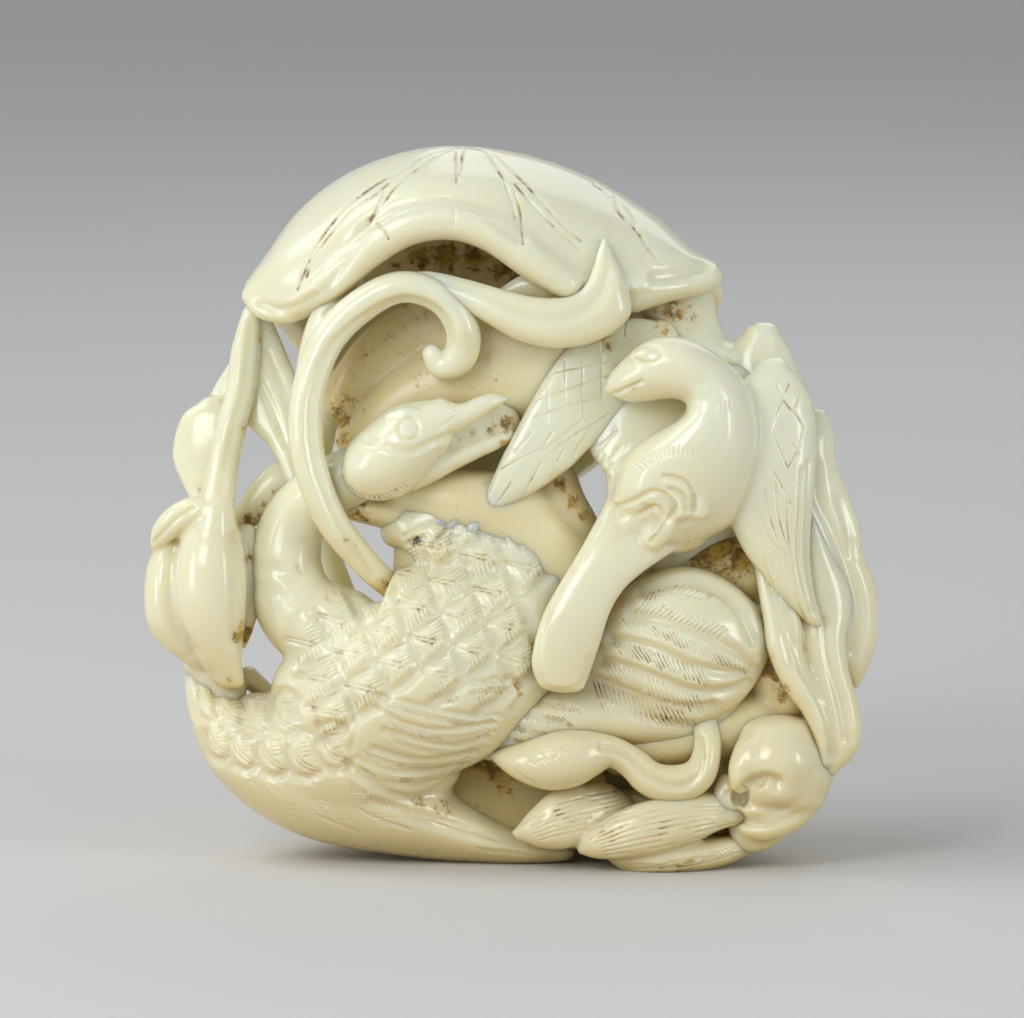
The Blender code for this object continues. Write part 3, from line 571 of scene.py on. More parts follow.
all_grime = added(residue, "ShaderNodeMath", operation="MAXIMUM", use_clamp=True)
shades = added(residue, "ShaderNodeTexNoise", {"Scale": 900.0, "Detail": 3.0})
shade_edge = added(residue, "ShaderNodeMapRange", {"From Min": 0.42, "From Max": 0.58},
                   interpolation_type="SMOOTHSTEP")
brown = added(residue, "ShaderNodeMix", data_type="RGBA")
for start, end in (
        (given.outputs["Reach"], open_sky.inputs["Distance"]),
        (open_sky.outputs["AO"], hollow.inputs["Value"]),
        (hollow.outputs["Result"], hollow_shade_share.inputs[0]),
        (given.outputs["Hollow Shade Amount"], hollow_shade_share.inputs[1]),
        (hollow_shade_share.outputs["Value"], hollow_shade_toned.inputs["Factor"]),
        (given.outputs["Stone"], hollow_shade_toned.inputs["A"]),
        (given.outputs["Hollow Shade Tone"], hollow_shade_toned.inputs["B"]),
        (spot.outputs["Object"], patches.inputs["Vector"]),
        (patches.outputs["Fac"], patch_edge.inputs["Value"]),
        (cut.outputs["Fac"], cut_edge.inputs["Value"]),
        (cut_edge.outputs["Result"], cut_patch.inputs[0]),
        (patch_edge.outputs["Result"], cut_patch.inputs[1]),
        (cut_patch.outputs["Value"], cut_share.inputs[0]),
        (given.outputs["Cut Amount"], cut_share.inputs[1]),
        (open_sky.outputs["AO"], deepest.inputs["Value"]),
        (deepest.outputs["Result"], deep_patch.inputs[0]),
        (patch_edge.outputs["Result"], deep_patch.inputs[1]),
        (spot.outputs["Object"], specks.inputs["Vector"]),
        (specks.outputs["Fac"], speck_edge.inputs["Value"]),
        (speck_edge.outputs["Result"], speck_place.inputs[0]),
        (hollow.outputs["Result"], speck_place.inputs[1]),
        (speck_place.outputs["Value"], speck_share.inputs[0]),
        (given.outputs["Speck Amount"], speck_share.inputs[1]),
        (cut_share.outputs["Value"], cut_or_deep.inputs[0]),
        (deep_patch.outputs["Value"], cut_or_deep.inputs[1]),
        (cut_or_deep.outputs["Value"], grime.inputs[0]),
        (speck_share.outputs["Value"], grime.inputs[1]),
        (rust.outputs["Fac"], rust_here.inputs["Value"]),
        (rust.outputs["Fac"], rust_level.inputs[0]),
        (spot.outputs["Object"], crumbs.inputs["Vector"]),
        (crumbs.outputs["Fac"], rust_level.inputs[2]),
        (rust.outputs["Fac"], rust_wash.inputs[0]),
        (rust_wash.outputs["Value"], washed.inputs["Factor"]),
        (hollow_shade_toned.outputs["Result"], washed.inputs["A"]),
        (rust_level.outputs["Value"], rust_edge.inputs["Value"]),
        (rust_edge.outputs["Result"], rust_share.inputs[0]),
        (rust_here.outputs["Result"], rust_share.inputs[1]),
        (grime.outputs["Value"], all_grime.inputs[0]),
        (rust_share.outputs["Value"], all_grime.inputs[1]),
        (spot.outputs["Object"], shades.inputs["Vector"]),
        (shades.outputs["Fac"], shade_edge.inputs["Value"]),
        (shade_edge.outputs["Result"], brown.inputs["Factor"]),
        (given.outputs["Residue"], brown.inputs["A"]),
        (given.outputs["Rust Tone"], brown.inputs["B"]),
        (all_grime.outputs["Value"], dirty.inputs["Factor"]),
        (washed.outputs["Result"], dirty.inputs["A"]),
        (brown.outputs["Result"], dirty.inputs["B"]),
        (dirty.outputs["Result"], result.inputs["Color"]),
        (all_grime.outputs["Value"], result.inputs["Grime"])):
    residue.links.new(start, end)


CRUST_ROUGHNESS = 0.75


def jade(name, pale, warm, hollow_shade_amount, cut_amount, speck_amount, roughness=0.18):
    """Polished nephrite: light sinks in a little way, and residue dulls the polish. Its colour also
    carries painted shade low down, on downward faces and in the hollows.
    """
    stone = bpy.data.materials.new(name)
    stone.use_nodes = True
    tree = stone.node_tree
    links = tree.links
    shader = tree.nodes["Principled BSDF"]
    shader.inputs["IOR"].default_value = 1.60
    shader.inputs["Subsurface Weight"].default_value = 0.85
    shader.inputs["Subsurface Radius"].default_value = (1.0, 0.80, 0.42)
    shader.inputs["Subsurface Scale"].default_value = 0.0024
    body = added(tree, "ShaderNodeGroup", node_tree=clouds_and_painted_shade, sockets={
        "Pale": pale, "Warm": warm, "Painted Shade": (0.76, 0.62, 0.30, 1.0), "Size": 60.0})
    grime = added(tree, "ShaderNodeGroup", node_tree=residue, sockets={
        "Hollow Shade Amount": hollow_shade_amount, "Cut Amount": cut_amount, "Speck Amount": speck_amount})
    dull = added(tree, "ShaderNodeMapRange", {"To Min": roughness, "To Max": CRUST_ROUGHNESS})
    links.new(body.outputs["Color"], grime.inputs["Stone"])
    links.new(grime.outputs["Color"], shader.inputs["Base Color"])
    links.new(grime.outputs["Grime"], dull.inputs["Value"])
    links.new(dull.outputs["Result"], shader.inputs["Roughness"])
    return stone


polished_jade = jade("polished_jade", pale=(0.875, 0.885, 0.70, 1.0), warm=(0.84, 0.82, 0.61, 1.0),
                     hollow_shade_amount=0.50, cut_amount=0.80, speck_amount=0.6)
ground_jade = jade("ground_jade", pale=(0.86, 0.80, 0.54, 1.0), warm=(0.81, 0.70, 0.40, 1.0),
                   hollow_shade_amount=0.65, cut_amount=0.8, speck_amount=1.0, roughness=0.34)
# A darker, yellower copy of the jade for walls that lie in shadow: painted shade
hollow_jade = jade("hollow_jade", pale=(0.50, 0.40, 0.12, 1.0), warm=(0.38, 0.28, 0.07, 1.0),
                   hollow_shade_amount=0.80, cut_amount=0.8, speck_amount=1.0, roughness=0.40)

# Ribs of the leaf: across, then (up, out) at the front rim, brow, crown, shoulder, back and hem
leaf_ribs = [
    (-25.6, (56.2, 9.0), (56.8, 8.6), (57.2, 7.6), (56.8, 6.4), (56.3, 5.4), (55.8, 5.0)),
    (-23.4, (56.2, 11.0), (59.0, 10.4), (60.2, 6.5), (58.5, 2.2), (56.5, 0.4), (54.8, 0.0)),
    (-20.2, (56.8, 13.2), (61.8, 11.8), (64.6, 5.5), (61.5, -2.2), (56.0, -5.6), (51.5, -6.0)),
    (-15.5, (60.0, 15.0), (65.0, 12.8), (68.2, 4.5), (64.5, -5.6), (56.0, -10.4), (45.0, -10.6)),
    (-9.5, (63.8, 15.6), (67.4, 13.0), (70.3, 3.6), (66.0, -7.6), (56.0, -13.0), (39.0, -13.2)),
    (-4.0, (63.6, 15.8), (67.6, 13.2), (70.6, 3.0), (66.0, -8.4), (55.0, -14.0), (35.5, -14.2)),
    (2.0, (60.5, 15.6), (66.2, 13.2), (69.6, 2.8), (65.0, -8.2), (54.0, -13.8), (36.5, -14.0)),
    (8.0, (57.2, 15.0), (63.6, 12.4), (67.3, 2.8), (62.5, -7.2), (53.0, -12.4), (40.0, -12.8)),
    (13.5, (57.4, 13.0), (61.6, 10.8), (63.9, 3.0), (60.0, -4.8), (53.5, -8.8), (45.5, -9.4)),
    (17.4, (57.8, 11.2), (59.6, 9.4), (60.5, 4.4), (58.5, -0.6), (54.8, -3.4), (50.5, -4.0)),
    (19.9, (58.2, 9.0), (58.8, 8.2), (59.0, 6.6), (58.4, 5.0), (57.6, 3.6), (56.6, 3.0)),
]
rib_rows = smooth_between([[rib[0]] + [value for point in rib[1:] for value in point]
                           for rib in leaf_ribs], 6)
sheet_points = []
for row in rib_rows:
    line = smooth_between([(row[0], row[k], row[k + 1]) for k in range(1, len(row), 2)], 6)
    sheet_points += line.tolist()
per_row = len(sheet_points) // len(rib_rows)
sheet_faces = [(i * per_row + k, i * per_row + k + 1, (i + 1) * per_row + k + 1, (i + 1) * per_row + k)
               for i in range(len(rib_rows) - 1) for k in range(per_row - 1)]
leaf_sheet_mesh = bpy.data.meshes.new("leaf_sheet")
leaf_sheet_mesh.from_pydata(sheet_points, [], sheet_faces)
leaf_sheet = placed("leaf_sheet", leaf_sheet_mesh)
wall = leaf_sheet.modifiers.new("wall", "SOLIDIFY")
wall.thickness = LEAF_WALL
wall.offset = 0.0
wall.use_even_offset = True
thick = plain_mesh(leaf_sheet)
bpy.data.objects.remove(leaf_sheet, do_unlink=True)
forms = [(np.array([vert.co[:] for vert in thick.vertices]),
          [tuple(face.vertices) for face in thick.polygons])]
# The rolled rim over the window, and the lips of the two drooping corners
limb(forms, [(-21.5, 56.2, 13.2, 1.3, 1.6), (-17.8, 58.4, 14.8, 1.7, 1.8),
             (-14.2, 61.6, 15.8, 1.9, 2.0), (-10.4, 63.9, 16.4, 2.0, 2.1), (-6.0, 64.5, 16.6, 2.0, 2.1),
             (-2.0, 63.3, 16.6, 2.0, 2.1), (1.8, 60.6, 16.4, 1.9, 2.0), (5.6, 58.0, 16.0, 1.6, 1.8)])
limb(forms, [(-26.0, 57.0, 8.6, 0.9, 1.2), (-24.6, 56.2, 10.4, 1.5, 1.6), (-22.2, 55.9, 12.0, 1.6, 1.6),
             (-19.6, 56.8, 13.4, 1.4, 1.5)])
limb(forms, [(12.0, 56.9, 13.0, 1.6, 1.6), (15.8, 58.1, 11.6, 1.6, 1.6), (18.8, 58.6, 9.8, 1.4, 1.5),
             (20.0, 59.0, 8.2, 0.9, 1.2)])
great_leaf = one_skin("great_leaf", forms, grain=0.34, rubs=8)

leaf_veins = [
    [(449, 150), (428, 155), (409, 169), (388, 180), (368, 193), (348, 209), (331, 229), (318, 248),
     (309, 268), (299, 291)],
    [(389, 186), (376, 197), (358, 209), (344, 223), (326, 244), (315, 261), (308, 279)],
    [(452, 150), (438, 157), (420, 170), (406, 181), (395, 191), (388, 201), (379, 213), (369, 228)],
    [(386, 193), (380, 207), (375, 217), (369, 224)],
    [(455, 153), (457, 186)], [(463, 150), (461, 169), (458, 178)], [(455, 216), (455, 228)],
    [(473, 148), (492, 155), (503, 165), (518, 179), (535, 197), (553, 217), (569, 234), (580, 243)],
    [(515, 187), (523, 196), (538, 213), (558, 234), (569, 243), (579, 252)],
    [(488, 157), (497, 171), (505, 185), (511, 203), (515, 220)],
    [(515, 196), (518, 206), (521, 221), (522, 233), (523, 246)],
    [(594, 185), (613, 201), (619, 215), (636, 233), (649, 253), (661, 266)],
    [(614, 198), (626, 210), (634, 225)],
    [(379, 226), (386, 234), (390, 242)],
]
rim_crease = [[(326, 293), (333, 282), (345, 263), (358, 244), (369, 228), (384, 221), (400, 213),
               (418, 208), (442, 205), (463, 208), (485, 216), (503, 229), (520, 241)]]
lip_crease = [[(656, 279), (677, 277), (702, 271)], [(262, 306), (280, 312), (300, 308), (316, 299)]]
vein_lines = wheel_lines("vein_lines", leaf_veins)
rim_lines = wheel_lines("rim_lines", rim_crease + lip_crease)
finer_under(great_leaf, vein_lines)
finer_under(great_leaf, vein_lines, reach=0.2)
engraved(great_leaf, rim_lines, width=1.2, depth=0.55, stain=0.0)
engraved(great_leaf, vein_lines, width=0.24, depth=0.16)
back_veins = wheel_lines("back_vein_lines", [
    [(462, 190), (410, 236), (350, 300), (316, 340)], [(464, 190), (424, 270), (384, 350), (366, 400)],
    [(468, 190), (448, 290), (430, 390), (424, 450)], [(474, 190), (474, 300), (474, 400), (472, 480)],
    [(480, 190), (500, 290), (520, 390), (530, 470)], [(486, 190), (530, 270), (572, 350), (592, 430)],
    [(490, 190), (560, 250), (620, 320), (650, 380)], [(404, 310), (380, 330), (350, 350)],
    [(437, 340), (420, 370), (398, 420)], [(510, 340), (536, 380), (556, 440)],
    [(560, 330), (596, 350), (620, 390)]])
finer_under(great_leaf, back_veins, reach=0.3, side=-1.0)
engraved(great_leaf, back_veins, width=0.34, depth=0.18, stain=0.5, side=-1.0)
rusted(great_leaf, [(420, 256, 1.4, 0.9), (446, 254, 1.6, 1.0), (474, 256, 1.5, 1.0),
                    (500, 266, 1.4, 0.9), (518, 276, 1.2, 0.9), (396, 266, 0.6, 1.0),
                    (460, 275, 3.0, 0.3)], nearest=9.0)
finished(great_leaf, polished_jade, share=0.25)

# Curling stem and pointed leaf
# A flattened stem loops round the goose's head and rolls up at its end. A narrow leaf springs from
# it and lies up against the hood.
forms = []
limb(forms, [(-12.0, 28.2, 11.0, 1.3, 1.4), (-14.4, 30.4, 13.2, 1.4, 1.6),
             (-18.0, 35.0, 15.6, 1.6, 1.7), (-20.2, 41.2, 16.8, 1.7, 1.7),
             (-20.2, 47.2, 16.8, 1.7, 1.7), (-18.4, 52.4, 16.4, 1.7, 1.7),
             (-15.0, 56.0, 16.2, 1.7, 1.7), (-11.0, 57.9, 16.4, 1.6, 1.7), (-7.0, 56.8, 16.6, 1.6, 1.7),
             (-4.9, 53.8, 16.4, 1.7, 1.7), (-5.2, 51.0, 15.6, 1.7, 1.6), (-7.0, 50.0, 15.2, 1.3, 1.4),
             (-8.0, 51.4, 15.2, 1.0, 1.2)])
limb(forms, [(-15.6, 58.0, 13.0, 1.2, 1.4), (-18.8, 55.2, 13.6, 1.1, 1.5),
             (-20.4, 50.0, 13.6, 1.0, 1.6), (-20.8, 44.0, 13.4, 1.0, 1.6)])
ball(forms, -5.9, 47.0, 12.0, 1.6)
curl_stem = one_skin("curl_stem", forms, grain=0.20, rubs=6)
stem_groove = wheel_lines("stem_groove_lines", [
    [(372, 574), (340, 527), (318, 474), (311, 430), (314, 392), (331, 352), (362, 322), (400, 303),
     (430, 308), (448, 326), (450, 344)]])
engraved(curl_stem, stem_groove, width=0.85, depth=0.32, stain=0.0)
rusted(curl_stem, [(453, 398, 1.2, 0.9), (466, 342, 1.0, 0.35), (388, 588, 1.2, 0.5),
                   (330, 446, 0.8, 0.5), (352, 545, 1.0, 0.3)])
finished(curl_stem, polished_jade)

forms = []
blade(forms, [(400, 276, 394, 291, 15.4, 15.8, 1.1), (430, 274, 422, 292, 16.0, 16.4, 1.4),
              (465, 281, 452, 304, 16.4, 16.8, 1.6), (500, 291, 482, 322, 16.8, 17.4, 1.8),
              (528, 298, 518, 342, 17.0, 17.6, 1.9), (553, 300, 560, 350, 17.0, 17.6, 1.9),
              (572, 297, 603, 340, 17.0, 17.2, 1.8), (585, 286, 629, 318, 16.8, 16.8, 1.7),
              (592, 270, 628, 294, 16.4, 16.4, 1.6), (597, 254, 618, 268, 16.0, 16.0, 1.4),
              (602, 240, 606, 244, 15.4, 15.4, 0.8)], flat=0.9)
blade(forms, [(500, 290, 508, 302, 13.6, 13.6, 0.8), (526, 275, 536, 304, 14.0, 14.0, 1.0),
              (548, 284, 566, 304, 14.2, 14.2, 1.0)], flat=0.9)
pointed_leaf = one_skin("pointed_leaf", forms, grain=0.20, rubs=6)
leaf_ridges = wheel_lines("leaf_ridge_lines", [
    [(606, 252), (607, 272), (598, 296), (577, 314), (545, 318), (505, 304), (470, 289), (430, 281)]])
engraved(pointed_leaf, leaf_ridges, width=1.2, depth=0.40, stain=0.0)
finished(pointed_leaf, polished_jade)

# Goose
# The breast lies low at the left, the neck loops back over it, and the head is laid on the back. The
# feathers of breast, wing and flank are cut in rows of scales.

# Rows of short strokes that follow a drawn path, each stroke turned from the path by its slant
strokes = new_tree("stroke_row", [("Spacing", "NodeSocketFloat", 0.35),
                                  ("Unevenness", "NodeSocketFloat", 0.15)])
given = strokes.nodes["Group Input"]
path = added(strokes, "GeometryNodeMeshToCurve")
paced = added(strokes, "GeometryNodeResampleCurve", mode="LENGTH")
stroke = added(strokes, "GeometryNodeMeshLine",
               {"Count": 3, "Start Location": (0.0, 0.0, 0.0), "Offset": (1.0, 0.0, 0.0)},
               mode="END_POINTS")
laid = added(strokes, "GeometryNodeInstanceOnPoints")
heading = added(strokes, "GeometryNodeInputTangent")
heading_parts = added(strokes, "ShaderNodeSeparateXYZ")
bearing = added(strokes, "ShaderNodeMath", operation="ARCTAN2")
slant = added(strokes, "GeometryNodeInputNamedAttribute", {"Name": "slant"}, data_type="FLOAT")
turned = added(strokes, "ShaderNodeMath", operation="ADD")
spin = added(strokes, "ShaderNodeCombineXYZ")
reach = added(strokes, "GeometryNodeInputNamedAttribute", {"Name": "reach"}, data_type="FLOAT")
chance = added(strokes, "FunctionNodeRandomValue", {"Seed": 7}, data_type="FLOAT")
shortest = added(strokes, "ShaderNodeMath", {0: 1.0}, operation="SUBTRACT")
longest = added(strokes, "ShaderNodeMath", {0: 1.0}, operation="ADD")
length = added(strokes, "ShaderNodeMath", operation="MULTIPLY")
random_from = next(s for s in chance.inputs if s.name == "Min" and s.enabled)
random_to = next(s for s in chance.inputs if s.name == "Max" and s.enabled)
random_out = next(s for s in chance.outputs if s.enabled)
for start, end in (
        (given.outputs["Geometry"], path.inputs["Mesh"]),
        (path.outputs["Curve"], paced.inputs["Curve"]),
        (given.outputs["Spacing"], paced.inputs["Length"]),
        (paced.outputs["Curve"], laid.inputs["Points"]),
        (stroke.outputs["Mesh"], laid.inputs["Instance"]),
        (heading.outputs["Tangent"], heading_parts.inputs["Vector"]),
        (heading_parts.outputs["Y"], bearing.inputs[0]),
        (heading_parts.outputs["X"], bearing.inputs[1]),
        (bearing.outputs["Value"], turned.inputs[0]),
        (slant.outputs["Attribute"], turned.inputs[1]),
        (turned.outputs["Value"], spin.inputs["Z"]),
        (spin.outputs["Vector"], laid.inputs["Rotation"]),
        (given.outputs["Unevenness"], shortest.inputs[1]),
        (given.outputs["Unevenness"], longest.inputs[1]),
        (shortest.outputs["Value"], random_from),
        (longest.outputs["Value"], random_to),
        (reach.outputs["Attribute"], length.inputs[0]),
        (random_out, length.inputs[1]),
        (length.outputs["Value"], laid.inputs["Scale"])):
    strokes.links.new(start, end)
tree_output(strokes, laid.outputs["Instances"])


def stroke_rows(name, rows, spacing=0.35):
    """Rows of strokes: the path on the sheet, each stroke's slant in degrees and its length in
    millimetres. A slant is counted anticlockwise from the way that the path runs."""
    slants = []
    reaches = []
    for line, degrees, reach_mm in rows:
        count = len(chained([line])[0])
        slants += [math.radians(degrees)] * count
        reaches += [reach_mm] * count
    points, edges = chained([row[0] for row in rows])
    mesh = bpy.data.meshes.new(name)
    mesh.from_pydata([(*on_sheet(x, y), 0.0) for x, y in points], edges, [])
    mesh.attributes.new("slant", "FLOAT", "POINT").data.foreach_set("value", slants)
    mesh.attributes.new("reach", "FLOAT", "POINT").data.foreach_set("value", reaches)
    rows_path = placed(name + "_path", mesh)
    drawn = placed(name, through_tree(rows_path, strokes, Spacing=spacing))
    bpy.data.objects.remove(rows_path, do_unlink=True)
    return drawn


# One drawn feather laid again and again over a wing
scales = new_tree("laid_scales", [("Pattern", "NodeSocketObject", None)])
given = scales.nodes["Group Input"]
drawn = added(scales, "GeometryNodeObjectInfo")
laid = added(scales, "GeometryNodeInstanceOnPoints")
turn = added(scales, "GeometryNodeInputNamedAttribute", {"Name": "turn"}, data_type="FLOAT")
size = added(scales, "GeometryNodeInputNamedAttribute", {"Name": "size"}, data_type="FLOAT")
spin = added(scales, "ShaderNodeCombineXYZ")
for start, end in (
        (given.outputs["Pattern"], drawn.inputs["Object"]),
        (given.outputs["Geometry"], laid.inputs["Points"]),
        (drawn.outputs["Geometry"], laid.inputs["Instance"]),
        (turn.outputs["Attribute"], spin.inputs["Z"]),
        (spin.outputs["Vector"], laid.inputs["Rotation"]),
        (size.outputs["Attribute"], laid.inputs["Scale"])):
    scales.links.new(start, end)
tree_output(scales, laid.outputs["Instances"])


def laid_scales(name, places, pattern_lines):
    """Lays one feather's lines at each place: (x, y) on the sheet, turn in degrees, size."""
    points = [(*on_sheet(x, y), 0.0) for x, y, _, _ in places]
    spots = bpy.data.meshes.new(name + "_places")
    spots.from_pydata(points, [], [])
    turns = [math.radians(place[2]) for place in places]
    spots.attributes.new("turn", "FLOAT", "POINT").data.foreach_set("value", turns)
    sizes = [place[3] for place in places]
    spots.attributes.new("size", "FLOAT", "POINT").data.foreach_set("value", sizes)
    marks, edges = chained(pattern_lines, 4)
    feather_mesh = bpy.data.meshes.new(name + "_feather")
    feather_mesh.from_pydata([(x / 10, -y / 10, 0.0) for x, y in marks], edges, [])
    feather = placed(name + "_feather", feather_mesh)
    spread = placed(name + "_places", spots)
    drawn = placed(name, through_tree(spread, scales, Pattern=feather))
    bpy.data.objects.remove(feather, do_unlink=True)
    bpy.data.objects.remove(spread, do_unlink=True)
    return drawn


def within(x, y, outline):
    """Whether a point lies inside a drawn outline."""
    inside = False
    for (x0, y0), (x1, y1) in zip(outline, outline[1:] + outline[:1]):
        if (y0 > y) != (y1 > y) and x < (x1 - x0) * (y - y0) / (y1 - y0) + x0:
            inside = not inside
    return inside


# Steps of the slanted lattice on which the wing feathers lie, and the middle of one feather
ALONG_SCALE = (32, -24)
DOWN_SCALE = (13, 34)
SCALE_MIDDLE = (22, 5)


def feather_places(start, outline, along_steps, down_steps):
    """Places of the lattice whose feathers have their middles inside a drawn outline."""
    found = []
    for i in along_steps:
        for j in down_steps:
            x = start[0] + i * ALONG_SCALE[0] + j * DOWN_SCALE[0]
            y = start[1] + i * ALONG_SCALE[1] + j * DOWN_SCALE[1]
            if within(x + SCALE_MIDDLE[0], y + SCALE_MIDDLE[1], outline):
                found.append((x, y, 0.0, 1.0))
    return found


# Neck, breast, wing and back are one swelling form; the feathers are cut into it
forms = []
limb(forms, [(-31.6, 19.9, 6.0, 1.1, 2.2), (-30.1, 16.4, 6.4, 2.4, 4.0), (-26.4, 12.2, 6.6, 4.4, 6.4),
             (-20.4, 9.2, 6.4, 5.7, 8.2), (-13.4, 7.2, 6.0, 5.6, 8.2), (-6.4, 4.2, 5.4, 3.6, 6.4),
             (0.4, 2.2, 6.4, 1.8, 4.4), (5.6, 1.6, 7.4, 0.8, 2.2)])
limb(forms, [(-25.4, 14.0, 7.0, 3.8, 5.0), (-21.6, 12.6, 8.2, 6.0, 6.8), (-17.0, 12.0, 9.2, 7.2, 7.6),
             (-12.0, 11.4, 9.2, 6.4, 7.2), (-8.6, 11.0, 8.8, 4.2, 5.6)])
limb(forms, [(-20.4, 18.4, 9.8, 3.8, 5.0), (-18.0, 16.6, 10.2, 5.6, 7.0), (-13.6, 15.2, 10.8, 6.4, 7.4),
             (-9.0, 14.6, 10.6, 5.4, 6.6)])
limb(forms, [(-17.0, 23.4, 10.0, 4.8, 5.0), (-21.0, 25.6, 10.0, 4.3, 4.6), (-22.5, 30.2, 9.8, 3.7, 3.9),
             (-21.6, 34.4, 10.0, 3.4, 3.4), (-19.0, 37.4, 11.0, 3.1, 3.2),
             (-15.8, 39.2, 13.0, 3.0, 3.2)])
limb(forms, [(-17.4, 21.6, 10.0, 4.6, 5.2), (-15.6, 20.6, 10.8, 6.6, 6.6),
             (-12.6, 19.6, 11.6, 9.6, 7.6), (-8.4, 20.0, 12.4, 10.6, 7.8), (-3.8, 22.6, 12.2, 9.6, 7.2),
             (0.2, 25.8, 11.2, 7.2, 6.0), (3.6, 28.4, 9.8, 4.4, 4.6)])
limb(forms, [(-9.6, 33.6, 11.2, 2.2, 3.4), (-6.4, 32.6, 12.2, 3.6, 3.8), (-1.0, 31.6, 12.2, 3.8, 3.6),
             (4.0, 30.6, 11.4, 3.4, 3.4)])
blade(forms, [(396, 504, 398, 548, 10.4, 11.2, 3.0), (430, 496, 430, 545, 10.6, 11.8, 3.8),
              (476, 500, 480, 548, 10.6, 12.0, 4.0), (512, 510, 530, 560, 9.8, 11.2, 3.8),
              (540, 530, 556, 570, 9.0, 10.4, 3.4)])
goose_body = one_skin("goose_body", forms, grain=0.27, rubs=45)
turned_away = [vert.index for vert in goose_body.data.vertices if vert.normal.z < -0.15]
thinned(goose_body, turned_away, share=0.2)
breast_places = [(196, 694, 0, 0.95), (218, 700, 0, 1.0), (244, 707, 0, 1.0), (271, 707, 0, 1.05),
                 (206, 733, -4, 0.9), (232, 741, -4, 0.95), (260, 746, -2, 1.0), (289, 747, 0, 1.05),
                 (319, 740, 4, 1.05)]
breast_edges = laid_scales("breast_edge_lines", breast_places,
                           [[(0, -14), (-1, 4), (2, 17), (6, 24)], [(6, 24), (18, 28), (30, 22)],
                            [(0, -14), (14, -17), (26, -12)]])
breast_quills = laid_scales("breast_quill_lines", breast_places, [[(1, -4), (6, 8), (16, 17), (25, 21)],
                                                                  [(4, -6), (9, 6), (18, 14), (27, 18)],
                                                                  [(12, -9), (22, -11)],
                                                                  [(13, -5), (23, -7)],
                                                                  [(14, -1), (24, -3)],
                                                                  [(15, 3), (25, 1)],
                                                                  [(16, 7), (26, 5)]])
wing_outline = [(296, 664), (288, 640), (312, 612), (330, 598), (372, 590), (392, 572), (398, 548),
                (430, 526), (480, 520), (520, 536), (548, 560), (538, 600), (528, 650), (520, 676),
                (470, 690), (420, 690), (392, 696), (380, 716), (366, 726), (340, 718), (318, 704),
                (300, 690)]
wing_places = feather_places((407, 633), wing_outline, range(-8, 9), range(-7, 8))
feather_rim = [[(32, -24), (42, -8), (45, 10)], [(45, 10), (31, 25), (13, 34)]]
scale_edges = laid_scales("scale_edge_lines", wing_places, feather_rim)
barbs_up = [[(33 + 13 * t - 13, -24 + 34 * t + 9), (36 + 13 * t - 3, -24 + 34 * t + 1.5)]
            for t in (0.12, 0.23, 0.34, 0.45, 0.56, 0.67)]
barbs_down = [[(13 + 32 * t - 4, 34 - 24 * t - 11), (13 + 32 * t - 0.7, 34 - 24 * t - 1)]
              for t in (0.16, 0.28, 0.40, 0.52, 0.64, 0.76)]
scale_quills = laid_scales("scale_quill_lines", wing_places, [[(3, 0), (30, 5)], [(3, 3), (27, 9)]])
scale_barbs = laid_scales("scale_barb_lines", wing_places, barbs_up + barbs_down)
# Long flight feathers fan from the scales to the wing's free edge
flight_edges = wheel_lines("flight_edge_lines", [
    [(377, 693), (424, 704), (468, 713), (499, 713)],
    [(379, 706), (402, 720), (435, 728), (468, 726), (492, 721)],
    [(386, 728), (419, 739), (457, 744), (488, 736)], [(375, 746), (413, 757), (446, 757), (477, 751)],
    [(357, 755), (390, 768), (424, 770), (461, 764)], [(348, 759), (379, 779), (413, 784), (441, 780)],
    [(440, 704), (472, 682), (512, 678), (521, 693), (512, 708)], [(318, 716), (330, 742), (348, 759)],
    [(350, 700), (356, 724), (352, 746)]])
wing_edge = wheel_lines("wing_edge_lines",
                        [[(348, 764), (380, 785), (414, 797), (442, 786), (468, 766)]])
flight_barbs = stroke_rows("flight_barb_lines", [
    ([(384, 698), (420, 708), (460, 718), (490, 717)], -38, 0.9),
    ([(392, 720), (424, 730), (460, 733), (486, 727)], -36, 1.0),
    ([(392, 733), (420, 744), (456, 749), (480, 743)], -36, 0.9),
    ([(366, 750), (400, 761), (440, 762), (468, 756)], -32, 0.8),
    ([(360, 762), (390, 774), (420, 776), (446, 772)], -32, 0.8),
    ([(448, 698), (474, 688), (508, 686)], -40, 0.8)], spacing=0.42)
flank_strokes = stroke_rows("flank_stroke_lines", [
    ([(352, 778), (369, 789), (387, 797), (407, 804)], -50, 0.9),
    ([(360, 806), (380, 816), (404, 824)], -10, 0.9),
    ([(318, 812), (336, 820), (352, 826)], -10, 0.9), ([(430, 818), (460, 828), (490, 836)], -4, 0.8),
    ([(478, 846), (500, 848), (524, 850)], -30, 0.7)], spacing=0.45)
down_places = [(300, 766, 0, 0.9), (266, 772, -6, 0.9), (330, 764, 4, 0.9), (238, 770, -10, 0.8),
               (352, 790, 10, 0.8), (312, 796, 0, 0.8), (280, 800, -4, 0.8), (334, 812, 6, 0.7),
               (372, 812, 14, 0.8), (222, 756, -16, 0.7)]
down_dashes = laid_scales("down_dash_lines", down_places, [
    [(0, 0), (9, 3)], [(3, 5), (12, 8)], [(6, 10), (15, 13)], [(9, 15), (18, 18)], [(14, 2), (22, 5)],
    [(17, 8), (25, 10)]])
belly_folds = wheel_lines("belly_fold_lines", [
    [(404, 812), (440, 824), (480, 833), (520, 840)], [(372, 800), (400, 806), (430, 815), (470, 826)]])
